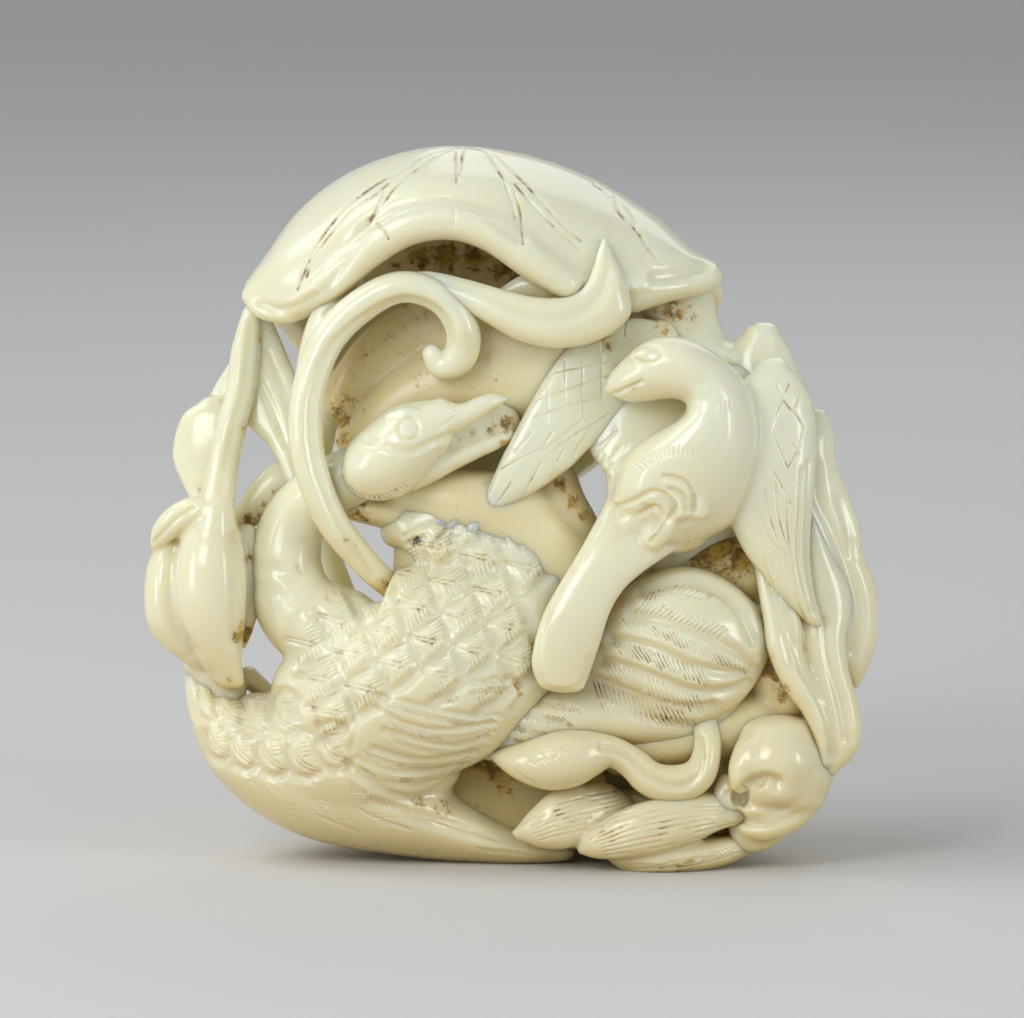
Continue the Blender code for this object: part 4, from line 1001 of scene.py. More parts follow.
neck_folds = wheel_lines("neck_fold_lines", [
    [(262, 566), (285, 572), (300, 590)], [(256, 584), (280, 592), (292, 606)],
    [(318, 601), (300, 616), (290, 640)]])
neck_strokes = stroke_rows("neck_stroke_lines", [
    ([(262, 598), (272, 608), (282, 622)], 70, 0.8), ([(300, 600), (294, 612), (290, 626)], 70, 0.8),
    ([(276, 574), (288, 582)], 80, 0.6)], spacing=0.4)
tuft_lines = wheel_lines("tuft_feather_lines", [
    [(432, 546), (446, 528), (462, 506)], [(440, 524), (452, 520), (474, 508)],
    [(440, 516), (456, 512)], [(462, 506), (470, 528)], [(468, 510), (480, 536)],
    [(404, 536), (422, 526), (438, 522)], [(408, 544), (424, 536)],
    [(500, 520), (512, 536), (520, 548)], [(496, 528), (506, 542)], [(520, 530), (544, 540)],
    [(524, 540), (548, 546)], [(552, 520), (572, 528)], [(540, 510), (566, 516)]])
back_strokes = stroke_rows("back_stroke_lines", [
    ([(446, 540), (458, 524), (468, 512)], -120, 0.9), ([(416, 548), (432, 538)], 100, 0.8),
    ([(506, 520), (520, 540)], 60, 0.8), ([(524, 524), (548, 534)], -60, 0.9),
    ([(552, 526), (570, 540)], 60, 0.9)], spacing=0.42)
for lines in (breast_quills, scale_barbs, scale_quills, flight_barbs, flank_strokes, down_dashes,
              tuft_lines,
              back_strokes):
    finer_under(goose_body, lines, reach=0.15)
engraved(goose_body, scale_edges, width=1.00, depth=0.52, stain=0.0)
engraved(goose_body, breast_edges, width=0.80, depth=0.42, stain=0.0)
engraved(goose_body, flight_edges, width=0.60, depth=0.26, stain=0.0)
engraved(goose_body, wing_edge, width=0.90, depth=0.42, stain=0.0)
engraved(goose_body, belly_folds, width=0.80, depth=0.22, stain=0.0)
engraved(goose_body, neck_folds, width=1.3, depth=0.16, stain=0.0)
engraved(goose_body, neck_strokes, width=0.18, depth=0.08, stain=0.0)
engraved(goose_body, scale_quills, width=0.22, depth=0.16, stain=0.75)
engraved(goose_body, breast_quills, width=0.20, depth=0.13, stain=0.5)
engraved(goose_body, scale_barbs, width=0.17, depth=0.13, stain=0.5)
engraved(goose_body, flight_barbs, width=0.18, depth=0.16, stain=0.6)
engraved(goose_body, flank_strokes, width=0.18, depth=0.12, stain=0.3)
engraved(goose_body, down_dashes, width=0.18, depth=0.07, stain=0.0)
engraved(goose_body, tuft_lines, width=0.45, depth=0.28, stain=0.1)
engraved(goose_body, back_strokes, width=0.18, depth=0.12, stain=0.3)
rusted(goose_body, [(518, 684, 0.5, 0.8), (520, 692, 0.4, 0.8), (263, 690, 0.8, 0.4),
                    (248, 640, 1.0, 0.7), (302, 568, 0.7, 0.5), (420, 800, 1.4, 0.5),
                    (445, 806, 1.6, 0.5), (330, 596, 0.8, 0.3)])
finished(goose_body, polished_jade)

forms = []
blade(forms, [(343, 468, 344, 480, 14.0, 14.0, 2.2), (347, 450, 351, 492, 14.8, 14.6, 3.2),
              (358, 436, 364, 499, 15.4, 15.2, 3.8), (373, 423, 383, 501, 15.9, 15.7, 4.2),
              (388, 411, 402, 497, 16.2, 16.0, 4.3), (403, 405, 414, 489, 16.4, 16.2, 4.1),
              (420, 402, 428, 474, 16.4, 16.2, 3.6), (434, 401, 439, 460, 16.6, 16.4, 3.0)], flat=1.0)
blade(forms, [(424, 402, 430, 450, 16.8, 16.6, 2.8), (437, 401, 440, 447, 17.0, 16.8, 2.5),
              (450, 403, 453, 436, 17.2, 17.0, 2.1), (463, 404, 467, 428, 17.1, 16.9, 1.8),
              (477, 398, 482, 418, 16.9, 16.7, 1.5), (491, 394, 497, 408, 16.7, 16.5, 1.2),
              (504, 397, 507, 402, 16.4, 16.4, 0.8)], flat=1.0)
blade(forms, [(412, 462, 414, 492, 15.0, 15.0, 2.0), (432, 458, 436, 482, 15.4, 15.4, 1.7),
              (452, 450, 457, 470, 15.5, 15.5, 1.4), (477, 441, 481, 458, 15.4, 15.4, 1.2),
              (500, 432, 504, 447, 15.2, 15.2, 1.0), (509, 430, 512, 441, 15.0, 15.0, 0.6)], flat=1.0)
blade(forms, [(424, 430, 430, 466, 14.8, 14.8, 1.5), (446, 424, 452, 460, 14.8, 14.8, 1.5),
              (472, 410, 480, 452, 14.6, 14.6, 1.4), (494, 402, 504, 442, 14.2, 14.2, 1.3),
              (510, 408, 516, 434, 13.8, 13.8, 1.0)], flat=0.9)
# Brow and cheek
limb(forms, [(-12.2, 44.9, 18.4, 0.5, 0.5), (-10.4, 45.3, 18.7, 0.7, 0.6), (-8.6, 44.9, 18.6, 0.6, 0.5),
             (-7.2, 44.2, 18.8, 0.5, 0.5)])
goose_head = one_skin("goose_head", forms, grain=0.16, rubs=9)
eye_ring = [[(420, 429), (417, 437), (410, 440), (403, 437), (400, 429), (403, 422), (410, 419),
             (417, 422), (420, 429)]]
eye_lines = wheel_lines("eye_lines", eye_ring)
head_creases = wheel_lines("head_crease_lines", [
    [(369, 441), (382, 445), (396, 450), (412, 452), (432, 443), (452, 436)]])
nostril = wheel_lines("nostril_lines", [[(441, 427), (451, 421), (460, 413)], [(449, 414), (456, 410)]])
jaw_ticks = stroke_rows("jaw_tick_lines", [
    ([(351, 486), (358, 492), (365, 495), (378, 496), (390, 493), (404, 485)], -62, 0.55)],
    spacing=0.42)
for lines in (eye_lines, nostril, jaw_ticks):
    finer_under(goose_head, lines, reach=0.3)
engraved(goose_head, eye_lines, width=0.32, depth=0.22, stain=0.1)
engraved(goose_head, head_creases, width=0.70, depth=0.24, stain=0.0)
engraved(goose_head, nostril, width=0.25, depth=0.14, stain=0.2)
engraved(goose_head, jaw_ticks, width=0.14, depth=0.14, stain=1.3)
rusted(goose_head, [(390, 500, 0.5, 0.5), (412, 493, 0.5, 0.5), (436, 483, 0.5, 0.5),
                    (460, 470, 0.5, 0.5), (484, 458, 0.5, 0.5), (505, 444, 0.7, 0.8),
                    (508, 424, 1.0, 0.75), (494, 430, 0.9, 0.55), (470, 436, 0.9, 0.35),
                    (456, 440, 0.7, 0.30)])
finished(goose_head, polished_jade)

forms = []
for across, up, turn_out, reach in ((-7.4, 34.2, 14.2, 2.0), (-5.6, 34.8, 14.6, 2.4),
                                    (-4.2, 33.6, 14.8, 2.2)):
    limb(forms, [(across - 1.2, up - 2.0, turn_out - 1.2, 0.6, 0.8), (across, up, turn_out, 0.8, 0.8),
                 (across + 0.9, up + 0.55 * reach, turn_out + 0.2, 0.4, 0.5)])
goose_tuft = one_skin("goose_tuft", forms, grain=0.20, rubs=5)
finished(goose_tuft, polished_jade)

# The goose's far wing, its fanned feathers and its leg
# The second wing shows under the falcon's tail, and its feathers fan over a dome. The leg is a smooth
# thigh and a shank that loops up.
forms = []
limb(forms, [(22.0, 15.2, 10.4, 1.6, 2.6), (18.6, 14.8, 10.8, 2.2, 2.8), (14.0, 15.0, 11.4, 2.6, 3.0),
             (9.4, 15.4, 11.8, 2.9, 3.1), (5.4, 15.2, 12.2, 2.9, 3.2), (1.2, 14.2, 12.2, 2.8, 3.0),
             (-2.2, 12.0, 11.4, 1.2, 1.8)])
limb(forms, [(8.4, 19.6, 11.0, 2.6, 3.0), (12.0, 21.2, 12.2, 6.2, 4.6), (16.6, 22.2, 12.8, 8.0, 5.6),
             (21.0, 22.8, 12.0, 6.8, 5.0), (23.8, 23.2, 10.4, 3.4, 3.6)])
fanned_feathers = one_skin("fanned_feathers", forms, grain=0.22, rubs=20)
fan_ribs = wheel_lines("fan_rib_lines", [
    [(630, 614), (658, 619), (687, 628), (711, 637), (735, 651), (752, 668)],
    [(610, 638), (626, 640), (658, 649), (687, 663), (723, 671), (750, 673)],
    [(601, 659), (626, 666), (658, 678), (690, 690), (722, 690), (748, 680)],
    [(590, 677), (614, 686), (645, 699), (680, 708), (712, 704)],
    [(640, 590), (672, 580), (706, 584), (736, 606), (752, 640)]])
fan_barbs = stroke_rows("fan_barb_lines", [
    ([(634, 612), (660, 616), (690, 626), (716, 636)], 62, 1.2),
    ([(643, 600), (672, 592), (702, 598)], 40, 1.0),
    ([(621, 618), (640, 622), (665, 628), (700, 643), (738, 660)], -42, 1.6),
    ([(612, 641), (640, 646), (665, 655), (700, 668)], -46, 1.9),
    ([(602, 662), (630, 669), (660, 681), (695, 694)], -48, 2.0),
    ([(592, 680), (620, 690), (650, 702), (680, 710)], -50, 1.6)], spacing=0.50)
strip_barbs = stroke_rows("strip_barb_lines", [
    ([(526, 697), (548, 699), (572, 703)], -35, 1.1), ([(517, 708), (540, 712), (562, 716)], -30, 1.5),
    ([(508, 721), (526, 726), (548, 732)], -30, 1.1), ([(500, 734), (520, 738)], -25, 1.0),
    ([(600, 700), (626, 708), (652, 714), (690, 718)], -48, 1.1)], spacing=0.50)
for lines in (fan_barbs, strip_barbs):
    finer_under(fanned_feathers, lines, reach=0.2)
engraved(fanned_feathers, fan_ribs, width=1.0, depth=0.55, stain=0.0)
engraved(fanned_feathers, fan_barbs, width=0.17, depth=0.16, stain=0.75)
engraved(fanned_feathers, strip_barbs, width=0.17, depth=0.14, stain=0.8)
finished(fanned_feathers, polished_jade)

forms = []
limb(forms, [(-1.8, 11.5, 12.6, 0.6, 0.9), (0.8, 10.9, 14.0, 1.9, 2.2), (3.4, 10.8, 14.8, 2.8, 2.9),
             (5.8, 11.2, 14.9, 2.9, 3.0), (8.0, 11.7, 14.6, 2.3, 2.5), (9.9, 11.8, 14.3, 1.6, 1.9),
             (11.8, 10.8, 14.2, 1.6, 1.8), (13.8, 9.1, 14.2, 1.8, 1.8), (16.3, 8.6, 14.2, 1.95, 1.8),
             (18.5, 9.6, 14.2, 1.7, 1.7), (19.4, 12.0, 13.8, 1.4, 1.6), (19.2, 14.6, 12.8, 1.3, 1.4)])
goose_leg = one_skin("goose_leg", forms, grain=0.20, rubs=8)
leg_ridges = wheel_lines("leg_ridge_lines", [
    [(602, 744), (624, 752), (646, 771), (674, 783), (694, 775), (700, 756), (698, 738)]])
thigh_ticks = stroke_rows("thigh_tick_lines", [([(540, 749), (552, 748), (564, 746)], -35, 0.7),
                                               ([(516, 768), (524, 774), (532, 778)], -20, 0.5),
                                               ([(530, 760), (542, 756), (552, 752)], -40, 0.6)],
                          spacing=0.4)
finer_under(goose_leg, thigh_ticks, reach=0.2)
engraved(goose_leg, leg_ridges, width=0.75, depth=0.38, stain=0.0)
engraved(goose_leg, thigh_ticks, width=0.16, depth=0.10, stain=0.2)
rusted(goose_leg, [(706, 752, 0.5, 0.4), (660, 744, 0.8, 0.3)])
finished(goose_leg, polished_jade)

# Falcon
# It bends its head down over the breast, with both wings raised and the tail hanging over the goose.
forms = []
blade(forms, [(604, 389, 611, 397, 16.6, 16.6, 0.7), (608, 377, 626, 403, 17.0, 17.0, 1.7),
              (619, 364, 642, 403, 17.4, 17.4, 2.4), (634, 350, 656, 401, 17.8, 17.8, 3.0),
              (655, 339, 672, 400, 18.0, 18.0, 3.4), (684, 340, 683, 404, 17.8, 17.8, 3.8),
              (716, 356, 684, 411, 17.2, 17.2, 4.2), (742, 382, 676, 421, 16.8, 16.8, 4.7),
              (755, 414, 654, 434, 16.6, 16.6, 5.2), (758, 446, 630, 452, 16.4, 16.4, 5.5),
              (752, 476, 616, 476, 16.2, 16.2, 5.4), (743, 502, 613, 504, 15.8, 15.8, 5.0),
              (728, 526, 632, 528, 15.2, 15.2, 4.2), (704, 540, 656, 545, 14.6, 14.6, 2.8)], flat=1.0,
      blunt=0.5)
# Tail, springing from under the body
blade(forms, [(622, 470, 690, 500, 13.4, 13.4, 2.0), (606, 497, 692, 527, 14.6, 14.6, 2.2),
              (597, 516, 680, 545, 15.6, 15.6, 2.2), (587, 535, 662, 558, 16.4, 16.4, 2.1),
              (573, 560, 640, 573, 17.0, 17.0, 2.0), (557, 586, 622, 590, 17.4, 17.4, 1.9),
              (543, 612, 609, 612, 17.6, 17.6, 1.9), (534, 640, 600, 640, 17.6, 17.6, 1.9),
              (531, 664, 592, 664, 17.4, 17.4, 1.8), (537, 681, 584, 685, 17.2, 17.2, 1.6)], flat=0.5,
      blunt=0.5)
# Eye, brow and the two feet
limb(forms, [(12.0, 50.9, 20.0, 0.4, 0.4), (13.2, 51.3, 20.2, 0.6, 0.5), (14.4, 51.0, 20.2, 0.4, 0.4)])
limb(forms, [(10.6, 36.8, 16.8, 0.7, 0.8), (11.6, 36.7, 17.8, 1.0, 1.0), (13.0, 37.6, 18.9, 1.1, 1.1),
             (14.8, 38.4, 19.9, 1.1, 1.0), (16.4, 38.2, 20.3, 0.9, 0.9)])
limb(forms, [(14.8, 38.0, 20.1, 0.8, 0.7), (16.2, 37.2, 20.5, 0.9, 0.8), (17.0, 35.4, 20.3, 0.8, 0.7)])
limb(forms, [(16.0, 38.6, 20.1, 0.8, 0.7), (18.0, 37.4, 20.4, 0.9, 0.7), (18.7, 35.4, 20.0, 0.8, 0.6)])
limb(forms, [(16.2, 36.0, 19.6, 0.9, 0.9), (15.0, 34.2, 19.2, 1.2, 1.1), (13.9, 32.8, 18.2, 1.2, 1.0)])
ball(forms, 13.0, 34.8, 15.4, 3.2)
ball(forms, 15.6, 35.6, 16.6, 3.2)
# Root of the left wing and the whole right wing
blade(forms, [(612, 366, 700, 400, 11.6, 12.6, 2.2), (584, 400, 700, 420, 11.8, 13.2, 2.2),
              (577, 428, 690, 448, 12.2, 13.6, 2.2), (587, 450, 680, 474, 12.8, 13.8, 2.3),
              (604, 474, 670, 494, 14.0, 14.0, 2.3), (605, 492, 660, 510, 14.0, 14.0, 2.2)], flat=0.8)
blade(forms, [(754, 370, 786, 368, 13.4, 13.2, 1.7), (736, 386, 801, 384, 14.4, 13.8, 2.3),
              (726, 412, 812, 410, 14.6, 14.2, 2.6), (724, 448, 814, 448, 14.8, 14.6, 2.8),
              (724, 485, 812, 485, 14.8, 14.8, 2.8), (728, 520, 809, 520, 14.8, 15.0, 2.6),
              (742, 552, 808, 556, 15.0, 15.0, 2.3), (764, 580, 811, 587, 15.2, 15.0, 2.0),
              (782, 602, 816, 607, 15.1, 14.8, 1.7), (802, 620, 820, 621, 14.8, 14.7, 1.1)], flat=0.8)
falcon_body = one_skin("falcon_body", forms, grain=0.22, rubs=12)
falcon_eye = wheel_lines("falcon_eye_lines", [
    [(659, 356), (655, 350), (645, 348), (635, 351), (631, 357), (636, 362), (646, 364), (655, 362),
     (659, 356)]])
falcon_mouth = wheel_lines("falcon_mouth_lines", [[(612, 396), (624, 390), (640, 383)]])
falcon_creases = wheel_lines("falcon_crease_lines", [
    [(660, 500), (670, 508), (668, 522), (656, 540)], [(640, 506), (650, 514), (654, 530)],
    [(692, 500), (686, 516), (676, 524)]])
neck_creases = wheel_lines("falcon_neck_lines",
                           [[(664, 374), (680, 378), (700, 384)], [(704, 400), (712, 416), (714, 436)]])
falcon_ticks = stroke_rows("falcon_tick_lines", [
    ([(660, 459), (674, 455), (690, 458)], 90, 0.8), ([(712, 412), (728, 410)], 90, 0.7),
    ([(612, 528), (622, 536)], 60, 0.8), ([(640, 470), (652, 462)], 110, 0.7)], spacing=0.42)
tail_rim = wheel_lines("tail_rim_lines", [
    [(600, 518), (580, 556), (556, 596), (543, 628), (538, 660), (544, 682), (562, 688), (582, 680),
     (588, 656)]])
for lines in (falcon_eye, falcon_mouth, falcon_ticks):
    finer_under(falcon_body, lines, reach=0.25)
engraved(falcon_body, falcon_eye, width=0.30, depth=0.20, stain=0.0)
engraved(falcon_body, falcon_mouth, width=0.34, depth=0.38, stain=0.6)
engraved(falcon_body, falcon_creases, width=0.70, depth=0.22, stain=0.0)
claw_edges = wheel_lines("claw_edge_lines", [
    [(616, 506), (634, 500), (650, 492), (666, 497), (673, 508), (662, 524), (650, 541)],
    [(638, 514), (652, 507), (661, 514), (650, 528)], [(662, 477), (680, 481), (691, 495), (691, 511)],
    [(668, 490), (680, 496), (684, 510)]])
finer_under(falcon_body, claw_edges, reach=0.3)
engraved(falcon_body, claw_edges, width=0.50, depth=0.34, stain=0.0)
engraved(falcon_body, neck_creases, width=1.4, depth=0.12, stain=0.0)
engraved(falcon_body, tail_rim, width=0.45, depth=0.12, stain=0.0)
engraved(falcon_body, falcon_ticks, width=0.16, depth=0.10, stain=0.1)
fold_lines = wheel_lines("fold_barb_lines", [
    [(616, 432), (599, 447)], [(613, 433), (594, 459)], [(612, 463), (603, 474)],
    [(604, 456), (599, 466)], [(620, 446), (606, 462)], [(608, 476), (604, 484)]])
right_wing_net = wheel_lines("right_wing_lines", [
    [(768, 431), (772, 420), (780, 401), (787, 384)], [(780, 401), (793, 415), (801, 427)],
    [(798, 396), (788, 411), (775, 386)], [(775, 420), (796, 454)], [(772, 439), (791, 481)],
    [(802, 427), (794, 453), (785, 469)], [(771, 472), (791, 509)],
    [(762, 491), (768, 519), (775, 542)], [(773, 484), (774, 509), (783, 542), (791, 565)],
    [(784, 495), (784, 519), (787, 550)], [(757, 511), (767, 538), (784, 554)],
    [(760, 557), (772, 591)], [(768, 557), (771, 571)], [(780, 554), (783, 569)],
    [(785, 603), (787, 609)], [(791, 592), (803, 620)]])
right_wing_rim = wheel_lines("right_rim_lines", [
    [(806, 462), (804, 510), (803, 545), (806, 578), (814, 612)],
    [(800, 470), (798, 510), (796, 545), (800, 578), (810, 612)]])
for lines in (fold_lines, right_wing_net):
    finer_under(falcon_body, lines, reach=0.25)
engraved(falcon_body, right_wing_rim, width=0.5, depth=0.22, stain=0.0)
engraved(falcon_body, right_wing_net, width=0.17, depth=0.12, stain=0.7)
engraved(falcon_body, fold_lines, width=0.20, depth=0.12, stain=0.3)
rusted(falcon_body, [(632, 388, 0.5, 0.4), (646, 508, 0.6, 0.3), (616, 538, 0.6, 0.2),
                     (690, 545, 0.8, 0.5)])
finished(falcon_body, polished_jade)

forms = []
blade(forms, [(655, 322, 674, 352, 12.0, 12.0, 1.5), (630, 319, 655, 384, 12.4, 12.4, 1.6),
              (600, 328, 634, 410, 12.9, 12.9, 1.7), (574, 342, 612, 430, 13.5, 13.3, 1.7),
              (552, 368, 590, 448, 14.1, 13.9, 1.7), (532, 400, 571, 467, 14.7, 14.5, 1.6),
              (517, 428, 546, 485, 15.1, 14.9, 1.5), (503, 455, 522, 499, 15.2, 15.0, 1.4),
              (490, 484, 499, 511, 14.8, 14.8, 1.2), (479, 506, 482, 514, 14.5, 14.5, 0.8)], flat=0.6)
falcon_left_wing = one_skin("falcon_left_wing", forms, grain=0.20, rubs=5)
left_wing_net = wheel_lines("left_wing_lines", [
    [(538, 400), (577, 387), (612, 376)], [(534, 419), (563, 408), (600, 398)],
    [(583, 348), (597, 342), (612, 336)], [(552, 374), (590, 367), (606, 364)],
    [(564, 362), (564, 383), (565, 421)], [(582, 351), (582, 385), (582, 420)],
    [(602, 338), (601, 370), (601, 401)], [(548, 392), (547, 424)], [(625, 319), (623, 338)],
    [(582, 420), (569, 431), (550, 445), (525, 457), (501, 469)], [(592, 425), (571, 438), (553, 452)],
    [(590, 429), (577, 447), (574, 457)], [(564, 449), (557, 463)], [(553, 432), (542, 449)],
    [(532, 434), (514, 453)], [(542, 463), (531, 481), (524, 497)], [(511, 483), (496, 505)],
    [(608, 414), (588, 429)]])
finer_under(falcon_left_wing, left_wing_net, reach=0.3)
engraved(falcon_left_wing, left_wing_net, width=0.17, depth=0.12, stain=0.6)
rusted(falcon_left_wing, [(606, 344, 0.9, 0.5), (660, 330, 0.9, 0.6), (556, 478, 0.8, 0.5),
                          (616, 366, 0.6, 0.4)])
finished(falcon_left_wing, polished_jade)

# Leaves down the right edge
# Thin leaves hang behind the falcon's wing and over its tip; the longest is rippled.
forms = []
blade(forms, [(741, 335, 778, 332, 8.0, 8.0, 2.3), (731, 344, 786, 345, 8.2, 8.0, 2.4),
              (726, 354, 793, 360, 8.6, 8.2, 2.4), (730, 378, 804, 386, 9.2, 8.4, 2.6),
              (748, 410, 812, 412, 9.6, 8.6, 2.6), (764, 446, 814, 446, 9.8, 9.0, 2.6)], flat=0.9,
      blunt=0.6)
blade(forms, [(636, 290, 714, 300, 8.6, 6.6, 2.4), (640, 312, 717, 320, 9.2, 7.0, 2.6),
              (658, 336, 726, 341, 9.4, 7.4, 2.6), (690, 360, 744, 353, 9.4, 7.8, 2.6),
              (726, 380, 764, 372, 8.2, 8.0, 2.2)], flat=0.9)
blade(forms, [(804, 416, 825, 418, 11.4, 10.6, 1.4), (792, 434, 830, 432, 12.2, 10.8, 1.9),
              (788, 458, 832, 458, 12.8, 11.0, 2.1), (786, 482, 840, 484, 13.2, 11.0, 2.1),
              (784, 508, 850, 508, 13.4, 11.0, 2.1), (784, 532, 858, 532, 13.4, 10.8, 2.1),
              (788, 556, 860, 553, 13.0, 10.6, 2.1), (798, 580, 872, 580, 12.4, 10.4, 2.0),
              (808, 606, 876, 606, 11.8, 10.2, 2.0), (816, 634, 875, 636, 11.4, 10.0, 2.0),
              (828, 660, 867, 662, 10.8, 9.8, 1.8), (846, 682, 856, 684, 10.0, 9.6, 1.2)], flat=0.7)
side_leaves = one_skin("side_leaves", forms, grain=0.26, rubs=7)
side_folds = wheel_lines("side_fold_lines", [
    [(812, 466), (816, 500), (830, 530), (846, 570), (856, 610), (852, 650)],
    [(838, 500), (846, 530), (848, 556)]])
engraved(side_leaves, side_folds, width=1.1, depth=0.34, stain=0.0)
rusted(side_leaves, [(672, 312, 1.6, 0.75), (690, 322, 1.0, 0.5), (655, 300, 1.2, 0.6)])
finished(side_leaves, polished_jade)

forms = []
blade(forms, [(806, 516, 812, 520, 14.2, 13.9, 0.8), (802, 546, 828, 552, 14.1, 13.2, 1.2),
              (799, 582, 846, 588, 13.7, 12.4, 1.6), (800, 616, 848, 614, 13.3, 12.5, 1.8),
              (800, 640, 843, 638, 13.4, 13.0, 1.8), (806, 668, 846, 668, 13.6, 13.2, 1.8),
              (808, 700, 855, 700, 13.8, 13.2, 1.8), (812, 726, 859, 730, 13.8, 13.2, 1.8),
              (816, 750, 853, 752, 13.4, 13.0, 1.7), (822, 768, 834, 771, 13.0, 12.8, 1.2)], flat=0.7)
blade(forms, [(746, 528, 764, 530, 13.0, 13.0, 1.3), (751, 556, 784, 566, 13.6, 13.4, 1.7),
              (756, 590, 796, 600, 14.2, 14.0, 1.9), (761, 620, 800, 626, 14.6, 14.4, 1.9),
              (764, 645, 800, 646, 14.8, 14.6, 1.9), (772, 668, 805, 664, 14.8, 14.6, 1.8),
              (785, 692, 816, 686, 14.8, 14.6, 1.7), (800, 712, 828, 706, 14.6, 14.4, 1.6),
              (812, 738, 832, 734, 14.4, 14.2, 1.4), (818, 762, 828, 762, 14.0, 14.0, 1.0)], flat=0.8)
rippled_leaf = one_skin("rippled_leaf", forms, grain=0.22, rubs=7)
ripples = wheel_lines("ripple_lines", [
    [(782, 612), (790, 640), (800, 668), (816, 696), (826, 722), (830, 752)],
    [(764, 566), (772, 600), (780, 630), (788, 660)], [(822, 620), (826, 660), (838, 700), (844, 735)]])
engraved(rippled_leaf, ripples, width=1.0, depth=0.40, stain=0.0)
rusted(rippled_leaf, [(834, 549, 0.5, 0.8), (764, 658, 0.8, 0.5), (780, 690, 0.9, 0.6)])
finished(rippled_leaf, polished_jade)

# Cloud-like lobes at the lower right corner
# Rounded lobes of fungus, deeply undercut between each other.
forms = []
ball(forms, 26.4, 10.8, 12.6, 4.8)
ball(forms, 27.8, 9.6, 12.0, 4.2)
ball(forms, 25.4, 11.5, 12.8, 3.4)
ball(forms, 22.7, 7.2, 12.0, 1.6)
ball(forms, 28.6, 12.4, 10.6, 3.0)
limb(forms, [(23.6, 12.0, 14.0, 1.6, 2.0), (22.9, 10.2, 14.6, 1.5, 1.9), (22.8, 8.8, 14.6, 1.3, 1.6)])
limb(forms, [(30.2, 10.4, 11.6, 1.2, 2.0), (30.0, 8.8, 12.0, 1.6, 2.2), (28.0, 7.4, 12.6, 1.5, 2.0)])
limb(forms, [(23.6, 6.2, 13.4, 0.9, 1.2), (24.8, 6.5, 13.8, 1.2, 1.4), (26.6, 7.0, 13.2, 1.1, 1.4)])
limb(forms, [(23.4, 4.2, 12.6, 1.0, 1.3), (25.0, 4.3, 13.2, 1.4, 1.5), (27.0, 5.0, 13.0, 1.5, 1.6),
             (28.8, 6.0, 12.6, 1.3, 1.4)])
limb(forms, [(21.2, 9.0, 12.6, 0.8, 1.0), (21.0, 7.2, 13.0, 1.2, 1.2), (21.6, 6.4, 12.8, 1.0, 1.1)])
limb(forms, [(22.2, 4.4, 11.2, 0.8, 1.2), (22.9, 3.0, 11.6, 1.0, 1.3), (24.4, 2.8, 11.4, 1.0, 1.2),
             (26.2, 3.6, 11.0, 0.9, 1.2)])
ball(forms, 26.2, 8.2, 11.0, 2.6)
ball(forms, 24.2, 5.2, 10.8, 2.2)
fungus_lobes = one_skin("fungus_lobes", forms, grain=0.22, rubs=18)
notch = wheel_lines("notch_lines", [[(738, 796), (743, 786), (752, 780), (764, 777), (774, 780)]])
lobe_ridges = wheel_lines("lobe_ridge_lines",
                          [[(742, 800), (760, 806), (784, 806)], [(738, 818), (760, 822), (790, 814)]])
engraved(fungus_lobes, notch, width=1.1, depth=0.8, stain=0.0)
engraved(fungus_lobes, lobe_ridges, width=0.7, depth=0.3, stain=0.0)
rusted(fungus_lobes, [(762, 784, 0.9, 0.3), (731, 820, 0.8, 0.4)])
finished(fungus_lobes, polished_jade)

forms = []
limb(forms, [(16.0, 29.4, 8.2, 2.0, 3.0), (20.4, 30.8, 9.2, 3.2, 3.4), (23.6, 29.0, 9.2, 2.6, 3.2)])
limb(forms, [(24.4, 24.0, 9.8, 2.2, 3.0), (25.6, 20.0, 10.2, 2.6, 3.0), (27.4, 16.6, 10.4, 2.4, 3.0)])
limb(forms, [(11.0, 11.8, 7.6, 2.6, 4.2), (15.0, 12.4, 8.6, 3.2, 4.4), (20.0, 13.6, 9.0, 3.4, 4.4),
             (24.2, 15.0, 9.4, 3.0, 4.0), (27.4, 15.2, 8.6, 2.4, 3.4)])
limb(forms, [(30.4, 10.4, 8.0, 1.6, 3.2), (27.0, 8.0, 7.0, 4.0, 5.0), (22.0, 7.6, 6.0, 4.6, 6.0),
             (16.0, 8.4, 5.0, 4.8, 6.0)])
lower_ground = one_skin("lower_ground", forms, grain=0.34, rubs=5)
rusted(lower_ground, [(716, 550, 2.4, 1.0), (736, 562, 1.6, 0.9), (700, 560, 1.4, 0.8),
                      (770, 668, 1.6, 1.0), (780, 688, 1.2, 0.8), (668, 742, 1.2, 0.3)])
finished(lower_ground, ground_jade)

# A recessed wall under the goose's flank, cut in the darker jade copy: its darkness is painted shade
forms = []
blade(forms, [(414, 790, 424, 806, 5.6, 6.0, 1.2), (440, 770, 456, 824, 6.0, 7.0, 1.6),
              (474, 752, 492, 834, 6.0, 7.0, 1.8), (510, 748, 530, 838, 6.4, 7.2, 1.8),
              (550, 752, 566, 830, 7.0, 7.6, 1.8), (590, 760, 600, 812, 7.6, 8.0, 1.6)])
dark_hollow = one_skin("dark_hollow", forms, grain=0.34, rubs=5)
rusted(dark_hollow, [(496, 770, 1.6, 1.0), (486, 764, 1.2, 1.0), (440, 800, 1.6, 0.7),
                     (464, 812, 1.6, 0.6), (508, 784, 1.2, 0.8)])
finished(dark_hollow, hollow_jade)

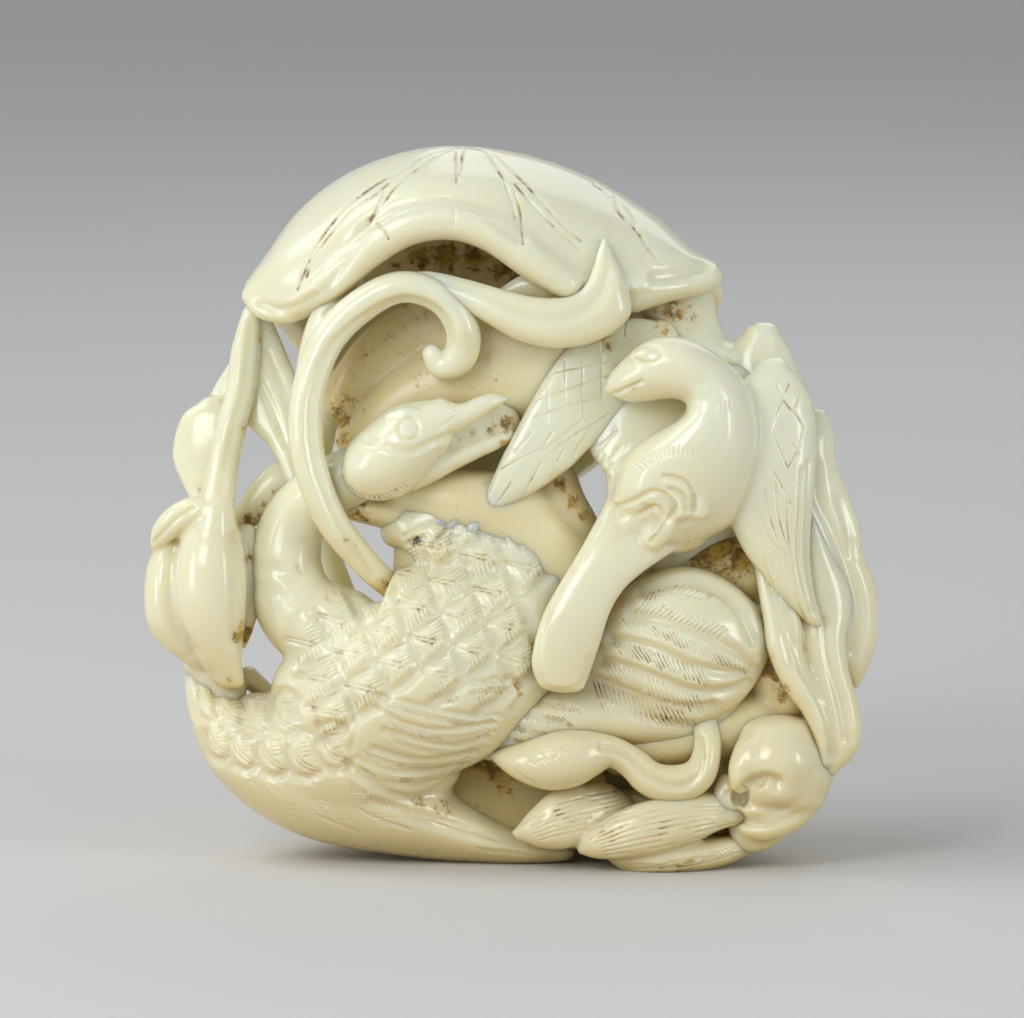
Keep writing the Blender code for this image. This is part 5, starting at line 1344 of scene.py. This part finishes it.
# Low petals
# Veined petals lie under the leg; the lowest one carries the piece.
forms = []
blade(forms, [(600, 780, 640, 820, 10.6, 10.6, 1.6), (572, 782, 614, 824, 11.6, 11.6, 1.9),
              (550, 790, 592, 836, 12.6, 12.6, 2.0), (532, 806, 568, 846, 12.8, 12.8, 1.9),
              (520, 820, 542, 846, 12.4, 12.4, 1.6), (514, 828, 520, 838, 12.0, 12.0, 1.0)], flat=0.8)
blade(forms, [(742, 790, 752, 822, 10.8, 10.8, 1.6), (706, 790, 724, 826, 12.6, 12.6, 2.0),
              (668, 794, 696, 838, 13.8, 13.8, 2.2), (632, 802, 658, 850, 14.2, 14.2, 2.2),
              (604, 816, 622, 856, 14.0, 14.0, 2.0), (584, 832, 596, 856, 13.4, 13.4, 1.6),
              (578, 844, 582, 852, 12.8, 12.8, 1.0)], flat=0.8)
limb(forms, [(24.6, 3.2, 9.2, 0.9, 1.6), (20.8, 1.9, 10.8, 1.5, 2.4), (16.0, 1.2, 11.6, 1.7, 3.0),
             (12.0, 1.2, 11.4, 1.5, 2.6), (9.9, 1.8, 10.6, 0.8, 1.8)])
limb(forms, [(6.0, 3.2, 6.6, 1.4, 3.0), (10.0, 4.6, 6.4, 3.0, 4.6), (16.0, 5.2, 5.6, 3.6, 5.0)])
low_petals = one_skin("low_petals", forms, grain=0.24, rubs=5)
petal_edges = (
    ([(524, 816), (545, 802), (580, 790), (620, 784)],
     [(536, 842), (560, 836), (596, 828), (640, 814)]),
    ([(586, 834), (622, 812), (668, 800), (730, 800)],
     [(594, 856), (640, 852), (690, 842), (740, 826)]),
    ([(606, 862), (650, 860), (700, 852), (740, 840)],
     [(620, 868), (660, 867), (700, 862), (740, 852)]))
vein_chance = np.random.default_rng(11)
vein_paths = []
for upper, lower in petal_edges:
    first_edge = smooth_between(upper, 6)
    second_edge = smooth_between(lower, 6)
    for share in np.arange(0.12, 0.95, 0.13):
        vein = first_edge * (1 - share) + second_edge * share
        for start in (0, 6, 12):
            begin = start + vein_chance.integers(0, 3)
            end = min(begin + vein_chance.integers(4, 8), len(vein))
            if end - begin > 1:
                vein_paths.append(vein[begin:end].tolist())
petal_veins = wheel_lines("petal_vein_lines", vein_paths)
finer_under(low_petals, petal_veins, reach=0.25)
engraved(low_petals, petal_veins, width=0.15, depth=0.14, stain=1.1)
finished(low_petals, polished_jade)

# Lotus bud and the loose petals at the left edge
# A bud hangs on a bent stem from the corner of the great leaf, with round petals behind it.
forms = []
blade(forms, [(196, 506, 236, 504, 11.6, 11.6, 2.2), (186, 528, 240, 524, 12.2, 12.2, 3.1),
              (179, 556, 247, 552, 12.6, 12.6, 3.8), (178, 588, 249, 588, 12.6, 12.6, 4.0),
              (183, 620, 247, 624, 12.2, 12.2, 3.8), (194, 648, 244, 654, 11.6, 11.6, 3.2),
              (212, 676, 246, 680, 10.6, 10.6, 2.4)], flat=0.9, blunt=0.6)
blade(forms, [(160, 542, 186, 524, 8.6, 9.6, 1.8), (151, 564, 196, 556, 9.2, 10.6, 2.6),
              (147, 594, 200, 588, 9.4, 11.0, 2.9), (151, 624, 204, 622, 9.4, 10.8, 2.8),
              (165, 646, 208, 646, 9.2, 10.2, 2.4), (182, 657, 206, 660, 9.0, 9.8, 1.8)], flat=0.9)
blade(forms, [(153, 547, 157, 550, 11.0, 11.2, 0.6), (155, 530, 172, 541, 11.8, 12.6, 1.0),
              (167, 512, 190, 528, 12.6, 13.6, 1.3), (187, 499, 210, 518, 13.2, 14.0, 1.4),
              (212, 496, 228, 514, 13.0, 13.6, 1.4)], flat=0.7)
limb(forms, [(-26.4, 33.4, 9.8, 1.2, 1.6), (-26.1, 28.4, 9.8, 1.5, 1.8), (-26.4, 24.4, 9.4, 0.8, 1.4),
             (-26.9, 22.4, 9.0, 0.5, 1.0)])
# Bent stem
blade(forms, [(243, 312, 262, 318, 6.4, 6.4, 1.4), (232, 351, 262, 353, 7.4, 7.4, 1.5),
              (228, 386, 258, 390, 8.4, 8.4, 1.6), (219, 420, 250, 422, 9.4, 9.4, 1.6),
              (212, 452, 243, 454, 10.2, 10.2, 1.7), (206, 484, 238, 486, 12.0, 12.0, 2.1),
              (198, 506, 238, 508, 12.6, 12.6, 2.6), (190, 530, 240, 532, 12.8, 12.8, 3.0)], flat=0.9)
limb(forms, [(-30.6, 20.6, 6.8, 2.2, 2.6), (-29.0, 17.6, 5.6, 2.6, 4.0)])
limb(forms, [(-26.4, 19.2, 3.4, 1.1, 1.8), (-24.2, 17.2, 3.4, 1.0, 2.0)])
lotus_bud = one_skin("lotus_bud", forms, grain=0.24, rubs=7)
bud_ridge = wheel_lines("bud_ridge_lines", [[(236, 540), (239, 570), (239, 604), (237, 640)],
                                            [(176, 552), (172, 590), (178, 626), (194, 650)]])
sepal_fold = wheel_lines("sepal_fold_lines", [[(158, 541), (168, 530), (180, 518), (196, 508)]])
stem_ridge = wheel_lines("bud_stem_lines",
                         [[(252, 320), (250, 352), (246, 390), (237, 424), (230, 456), (224, 490)]])
engraved(lotus_bud, bud_ridge, width=1.1, depth=0.35, stain=0.0)
engraved(lotus_bud, sepal_fold, width=0.45, depth=0.25, stain=0.0)
engraved(lotus_bud, stem_ridge, width=0.9, depth=0.25, stain=0.0)
rusted(lotus_bud, [(248, 634, 1.2, 1.0), (251, 560, 0.8, 0.6), (262, 340, 0.5, 0.5),
                   (262, 394, 0.6, 0.8), (214, 669, 0.4, 0.6), (232, 678, 0.4, 0.6),
                   (249, 430, 0.8, 0.6), (240, 540, 1.0, 0.3), (241, 504, 0.7, 0.5)])
finished(lotus_bud, polished_jade)

forms = []
blade(forms, [(200, 403, 224, 403, 3.0, 3.4, 0.9), (184, 414, 236, 412, 3.0, 4.0, 1.1),
              (175, 438, 240, 432, 3.2, 4.4, 1.3), (174, 460, 238, 456, 3.8, 5.2, 1.4),
              (182, 480, 228, 480, 4.8, 6.2, 1.4), (192, 498, 216, 500, 6.0, 7.0, 1.3)], flat=0.8)
blade(forms, [(228, 366, 240, 366, 1.6, 2.0, 0.8), (216, 384, 246, 384, 1.4, 2.2, 1.0),
              (208, 402, 244, 404, 1.6, 2.6, 1.1), (206, 424, 240, 428, 2.2, 3.6, 1.2)], flat=0.8)
blade(forms, [(244, 316, 272, 318, 5.4, 5.4, 1.2), (244, 346, 286, 350, 6.0, 6.0, 1.2),
              (242, 372, 298, 380, 6.6, 6.8, 1.2), (240, 398, 306, 410, 7.0, 7.6, 1.2),
              (246, 422, 308, 438, 7.4, 8.4, 1.2), (268, 444, 306, 462, 8.0, 9.2, 1.2),
              (284, 470, 306, 484, 8.8, 10.2, 1.3), (292, 496, 312, 508, 9.6, 11.0, 1.3)], flat=0.8)
blade(forms, [(236, 512, 244, 532, 8.0, 8.2, 1.0), (252, 484, 262, 524, 7.8, 8.0, 1.1),
              (270, 466, 284, 514, 8.0, 8.2, 1.2), (290, 458, 304, 506, 8.6, 8.8, 1.3),
              (306, 462, 316, 500, 9.4, 9.6, 1.3)], flat=0.8)
loose_petals = one_skin("loose_petals", forms, grain=0.24, rubs=5)
web_folds = wheel_lines("web_fold_lines", [[(268, 350), (282, 382), (292, 420), (298, 462)],
                                           [(262, 384), (274, 408), (288, 446)],
                                           [(276, 372), (286, 392), (293, 410)]])
engraved(loose_petals, web_folds, width=0.7, depth=0.22, stain=0.1)
rusted(loose_petals, [(250, 518, 0.8, 0.8), (266, 504, 0.6, 0.6), (280, 494, 0.7, 0.7),
                      (258, 512, 0.6, 0.6), (278, 432, 0.6, 0.3), (288, 362, 0.8, 0.3),
                      (200, 486, 0.6, 0.3)])
finished(loose_petals, polished_jade)

# Pierced ground between the birds and the leaf
# What the drill left between the figures: rough ground, warmer than the polished skin and specked.
forms = []
limb(forms, [(-15.2, 42.8, 8.8, 2.6, 3.0), (-10.4, 46.2, 9.8, 3.8, 3.2), (-4.0, 48.6, 10.4, 5.0, 3.6),
             (3.0, 48.6, 10.4, 5.6, 3.8), (10.0, 48.0, 9.4, 5.2, 3.8), (16.0, 47.4, 7.6, 5.0, 4.0)])
limb(forms, [(2.4, 41.0, 8.8, 2.0, 2.6), (3.9, 39.2, 9.6, 2.4, 3.0), (4.9, 36.6, 10.2, 2.4, 3.2),
             (6.3, 34.0, 10.2, 2.4, 3.2), (7.4, 31.6, 9.8, 2.4, 3.2)])
limb(forms, [(-17.2, 36.4, 10.6, 1.3, 2.0), (-14.2, 35.8, 11.2, 1.5, 2.2),
             (-11.4, 35.4, 11.6, 1.7, 2.4)])
limb(forms, [(-12.4, 43.4, 0.6, 3.4, 5.6), (-5.0, 46.8, -1.0, 5.0, 6.6), (3.0, 48.2, -1.6, 5.4, 7.0),
             (11.0, 47.8, -0.6, 5.4, 6.8), (18.0, 46.0, 1.0, 5.0, 6.0)])
limb(forms, [(-16.6, 46.4, 8.0, 2.6, 2.0), (-13.2, 50.6, 9.0, 3.2, 2.0), (-8.6, 53.4, 9.2, 3.4, 2.0),
             (-3.0, 53.0, 10.8, 3.2, 2.8), (3.0, 52.0, 11.2, 3.4, 3.0), (8.0, 51.0, 10.4, 3.4, 3.0)])
limb(forms, [(-10.4, 37.4, 11.4, 2.4, 3.0), (-6.0, 36.4, 12.2, 3.6, 3.4), (-0.6, 35.4, 12.2, 4.0, 3.6),
             (3.2, 32.4, 11.6, 3.8, 3.8), (7.6, 28.6, 10.2, 3.8, 4.4)])
limb(forms, [(-10.0, 40.0, 2.0, 2.6, 5.0), (-6.6, 35.0, 0.0, 4.4, 6.6), (-2.0, 30.4, -1.6, 5.4, 7.6),
             (4.0, 27.0, -2.0, 5.8, 8.0)])
limb(forms, [(-9.6, 35.6, 9.4, 2.2, 3.0), (-9.2, 31.6, 9.6, 2.6, 3.4), (-9.0, 27.0, 9.6, 3.0, 4.0)])
pierced_ground = one_skin("pierced_ground", forms, grain=0.34, rubs=5)
rusted(pierced_ground, [(340, 420, 1.1, 1.0), (344, 440, 0.9, 0.8), (396, 266, 0.6, 1.0),
                        (420, 256, 1.4, 0.9), (446, 254, 1.6, 1.0), (474, 256, 1.5, 0.9),
                        (500, 266, 1.4, 0.8), (518, 276, 1.2, 0.8), (370, 350, 4.0, 0.30),
                        (410, 330, 4.0, 0.30), (350, 400, 3.0, 0.35), (470, 350, 4.0, 0.22),
                        (420, 385, 3.0, 0.25), (500, 380, 3.0, 0.22), (460, 490, 5.0, 0.15),
                        (360, 518, 1.6, 0.6), (340, 512, 1.2, 0.5), (560, 486, 0.8, 1.0),
                        (572, 502, 0.7, 1.0), (584, 516, 0.6, 1.0), (640, 306, 1.4, 0.6),
                        (456, 398, 0.6, 0.6), (515, 424, 1.0, 0.6)])
finished(pierced_ground, ground_jade, share=0.30)

# Trunk of the pebble and the far side
# The falcon's back, the goose's far wing, a second leaf and stalks that climb to the great leaf.
forms = []
limb(forms, [(-22.6, 12.6, 1.0, 4.4, 5.0), (-16.6, 14.4, -1.0, 7.4, 8.8), (-9.0, 16.6, -2.0, 9.4, 10.0),
             (0.0, 19.6, -2.4, 9.6, 10.0), (9.0, 20.4, -2.0, 8.6, 9.0), (18.0, 19.6, -1.0, 8.0, 8.0),
             (25.0, 17.0, 1.0, 5.4, 6.0)])
limb(forms, [(21.6, 47.6, 10.0, 3.2, 5.0), (21.4, 42.0, 8.0, 5.0, 6.4), (19.0, 36.0, 6.0, 6.0, 7.0),
             (17.6, 29.0, 4.0, 6.4, 7.4), (17.0, 22.0, 3.0, 6.6, 8.0)])
limb(forms, [(21.6, 47.0, 3.0, 3.0, 3.6), (22.8, 41.0, 1.6, 4.4, 4.6), (24.0, 33.0, 0.8, 5.0, 5.4),
             (24.6, 25.0, 0.6, 5.4, 6.0)])
limb(forms, [(-17.0, 23.4, -5.6, 3.0, 3.4), (-12.6, 21.4, -8.6, 6.0, 4.2),
             (-7.0, 19.0, -10.4, 8.2, 4.4), (0.0, 16.6, -11.0, 7.6, 4.2), (6.6, 13.6, -10.2, 4.6, 3.6),
             (11.0, 11.4, -8.6, 1.6, 2.2)])
limb(forms, [(-18.0, 8.4, -3.0, 2.6, 3.4), (-10.0, 6.6, -7.4, 3.4, 3.6), (0.0, 6.2, -9.6, 3.4, 3.6),
             (10.0, 6.4, -9.0, 3.6, 3.6), (18.0, 7.8, -5.6, 3.4, 3.8), (24.0, 9.6, -1.4, 2.6, 3.4)])
limb(forms, [(12.0, 40.6, -8.8, 3.0, 2.0), (17.4, 36.6, -8.6, 6.2, 2.2), (21.6, 31.0, -7.2, 7.4, 2.2),
             (24.4, 24.6, -5.4, 6.2, 2.2), (26.0, 19.4, -3.4, 3.0, 2.0)])
far_side = one_skin("far_side", forms, grain=0.34, rubs=14)
far_outline = [(350, 600), (420, 606), (500, 646), (484, 740), (400, 736), (352, 690)]
far_places = feather_places((407, 660), far_outline, range(-4, 6), range(-4, 5))
far_edges = laid_scales("far_edge_lines", far_places, feather_rim)
far_barbs = laid_scales("far_barb_lines", far_places, barbs_up + barbs_down)
far_feathers = wheel_lines("far_feather_lines", [
    [(500, 648), (552, 684), (606, 730)], [(494, 670), (544, 706), (600, 746)],
    [(488, 694), (532, 726), (588, 760)], [(480, 716), (520, 744), (570, 770)],
    [(466, 736), (500, 758), (544, 776)]])
far_leaf_ribs = wheel_lines("far_rib_lines", [
    [(640, 474), (690, 510), (728, 562), (756, 622), (768, 664)], [(690, 510), (700, 480), (706, 468)],
    [(716, 542), (740, 520), (752, 508)], [(738, 580), (764, 566), (780, 560)],
    [(690, 510), (668, 524), (652, 530)], [(716, 542), (692, 560), (676, 566)],
    [(738, 580), (714, 604), (698, 612)], [(754, 620), (736, 640), (724, 648)]])
far_grooves = wheel_lines("far_groove_lines",
                          [[(350, 796), (412, 804), (512, 806), (612, 804), (700, 788)],
                           [(380, 816), (450, 822), (540, 822), (640, 818)]])
for lines in (far_barbs, far_leaf_ribs):
    finer_under(far_side, lines, reach=0.2, side=-1.0)
engraved(far_side, far_edges, width=0.95, depth=0.45, stain=0.0, side=-1.0)
engraved(far_side, far_feathers, width=0.80, depth=0.40, stain=0.0, side=-1.0)
engraved(far_side, far_grooves, width=1.00, depth=0.40, stain=0.0, side=-1.0)
engraved(far_side, far_leaf_ribs, width=0.40, depth=0.22, stain=0.4, side=-1.0)
engraved(far_side, far_barbs, width=0.20, depth=0.12, stain=0.4, side=-1.0)
finished(far_side, polished_jade, share=0.35)

forms = []
limb(forms, [(-17.0, 27.0, -6.0, 1.5, 1.6), (-19.2, 33.6, -6.8, 1.4, 1.5),
             (-19.6, 40.6, -7.6, 1.4, 1.5), (-17.6, 47.4, -9.0, 1.5, 1.6),
             (-14.4, 52.6, -10.6, 1.5, 1.6)])
limb(forms, [(-28.4, 22.0, 4.6, 1.3, 1.5), (-29.4, 29.0, 3.0, 1.3, 1.4), (-29.2, 36.0, 2.4, 1.2, 1.3),
             (-28.4, 41.6, 2.6, 1.2, 1.3), (-26.8, 49.0, 3.2, 1.2, 1.4), (-25.6, 55.6, 3.6, 1.2, 1.5)])
far_stalks = one_skin("far_stalks", forms, grain=0.30, rubs=5)
finished(far_stalks, polished_jade, share=0.25)

forms = []
limb(forms, [(2.0, 24.0, -13.0, 1.4, 1.5), (-1.4, 29.6, -14.6, 1.4, 1.5), (-3.8, 36.0, -15.2, 1.5, 1.5),
             (-4.4, 42.6, -15.4, 1.4, 1.4)])
limb(forms, [(-4.0, 40.0, -10.0, 3.4, 4.6), (0.0, 45.0, -9.4, 4.4, 4.6), (4.0, 50.0, -8.4, 4.0, 4.0)])
far_shoot = one_skin("far_shoot", forms, grain=0.30, rubs=5)
finished(far_shoot, polished_jade, share=0.25)

for scrap in [obj for obj in bpy.data.objects if obj.name.endswith("_lines")]:
    bpy.data.objects.remove(scrap, do_unlink=True)

# Floor, lights and camera
# A pale seamless table, one large soft light from above and the left, a fill and a low back light.
floor_mesh = bpy.data.meshes.new("table")
floor_mesh.from_pydata([(-4, -4, 0), (4, -4, 0), (4, 4, 0), (-4, 4, 0)], [], [(0, 1, 2, 3)])
table = placed("table", floor_mesh)
cloth = bpy.data.materials.new("pale_table")
cloth.use_nodes = True
cloth.node_tree.nodes["Principled BSDF"].inputs["Base Color"].default_value = (0.70, 0.70, 0.69, 1.0)
cloth.node_tree.nodes["Principled BSDF"].inputs["Roughness"].default_value = 0.9
floor_mesh.materials.append(cloth)

sky = bpy.data.worlds.new("studio")
bpy.context.scene.world = sky
sky.use_nodes = True
sky.node_tree.nodes["Background"].inputs["Color"].default_value = (0.95, 0.97, 1.0, 1.0)
sky.node_tree.nodes["Background"].inputs["Strength"].default_value = 0.36

for light_name, place, wide, tall, power in (
        ("key_box", (-0.30, -0.46, 0.36), 0.26, 0.26, 1.25),
        ("left_strip", (-0.56, -0.26, 0.10), 0.12, 0.36, 0.75),
        ("right_strip", (0.50, -0.38, 0.20), 0.14, 0.34, 0.85),
        ("top_box", (-0.36, 0.02, 0.46), 0.30, 0.30, 0.85),
        ("rear_box", (0.10, 0.42, 0.36), 0.30, 0.30, 0.30)):
    lamp = bpy.data.lights.new(light_name, "AREA")
    lamp.shape = "RECTANGLE"
    lamp.size = wide
    lamp.size_y = tall
    lamp.energy = power
    lamp_object = bpy.data.objects.new(light_name, lamp)
    bpy.context.scene.collection.objects.link(lamp_object)
    lamp_object.location = place
    aim = Vector((0.0, 0.0, 0.035)) - Vector(place)
    lamp_object.rotation_euler = aim.to_track_quat("-Z", "Y").to_euler()

LENS = 600.0
FILM = 36.0
FRAME_WIDTH = 0.1024
target = Vector((0.0, 0.0024, 0.03385))
distance = FRAME_WIDTH * LENS / FILM
eye = bpy.data.cameras.new("long_lens")
eye.lens = LENS
eye.sensor_width = FILM
eye.clip_end = 20.0
camera = bpy.data.objects.new("long_lens", eye)
bpy.context.scene.collection.objects.link(camera)
camera.location = target + Vector((0, -math.cos(LEAN), math.sin(LEAN))) * distance
camera.rotation_euler = (target - camera.location).to_track_quat("-Z", "Y").to_euler()
bpy.context.scene.camera = camera
bpy.context.scene.view_settings.view_transform = "Standard"
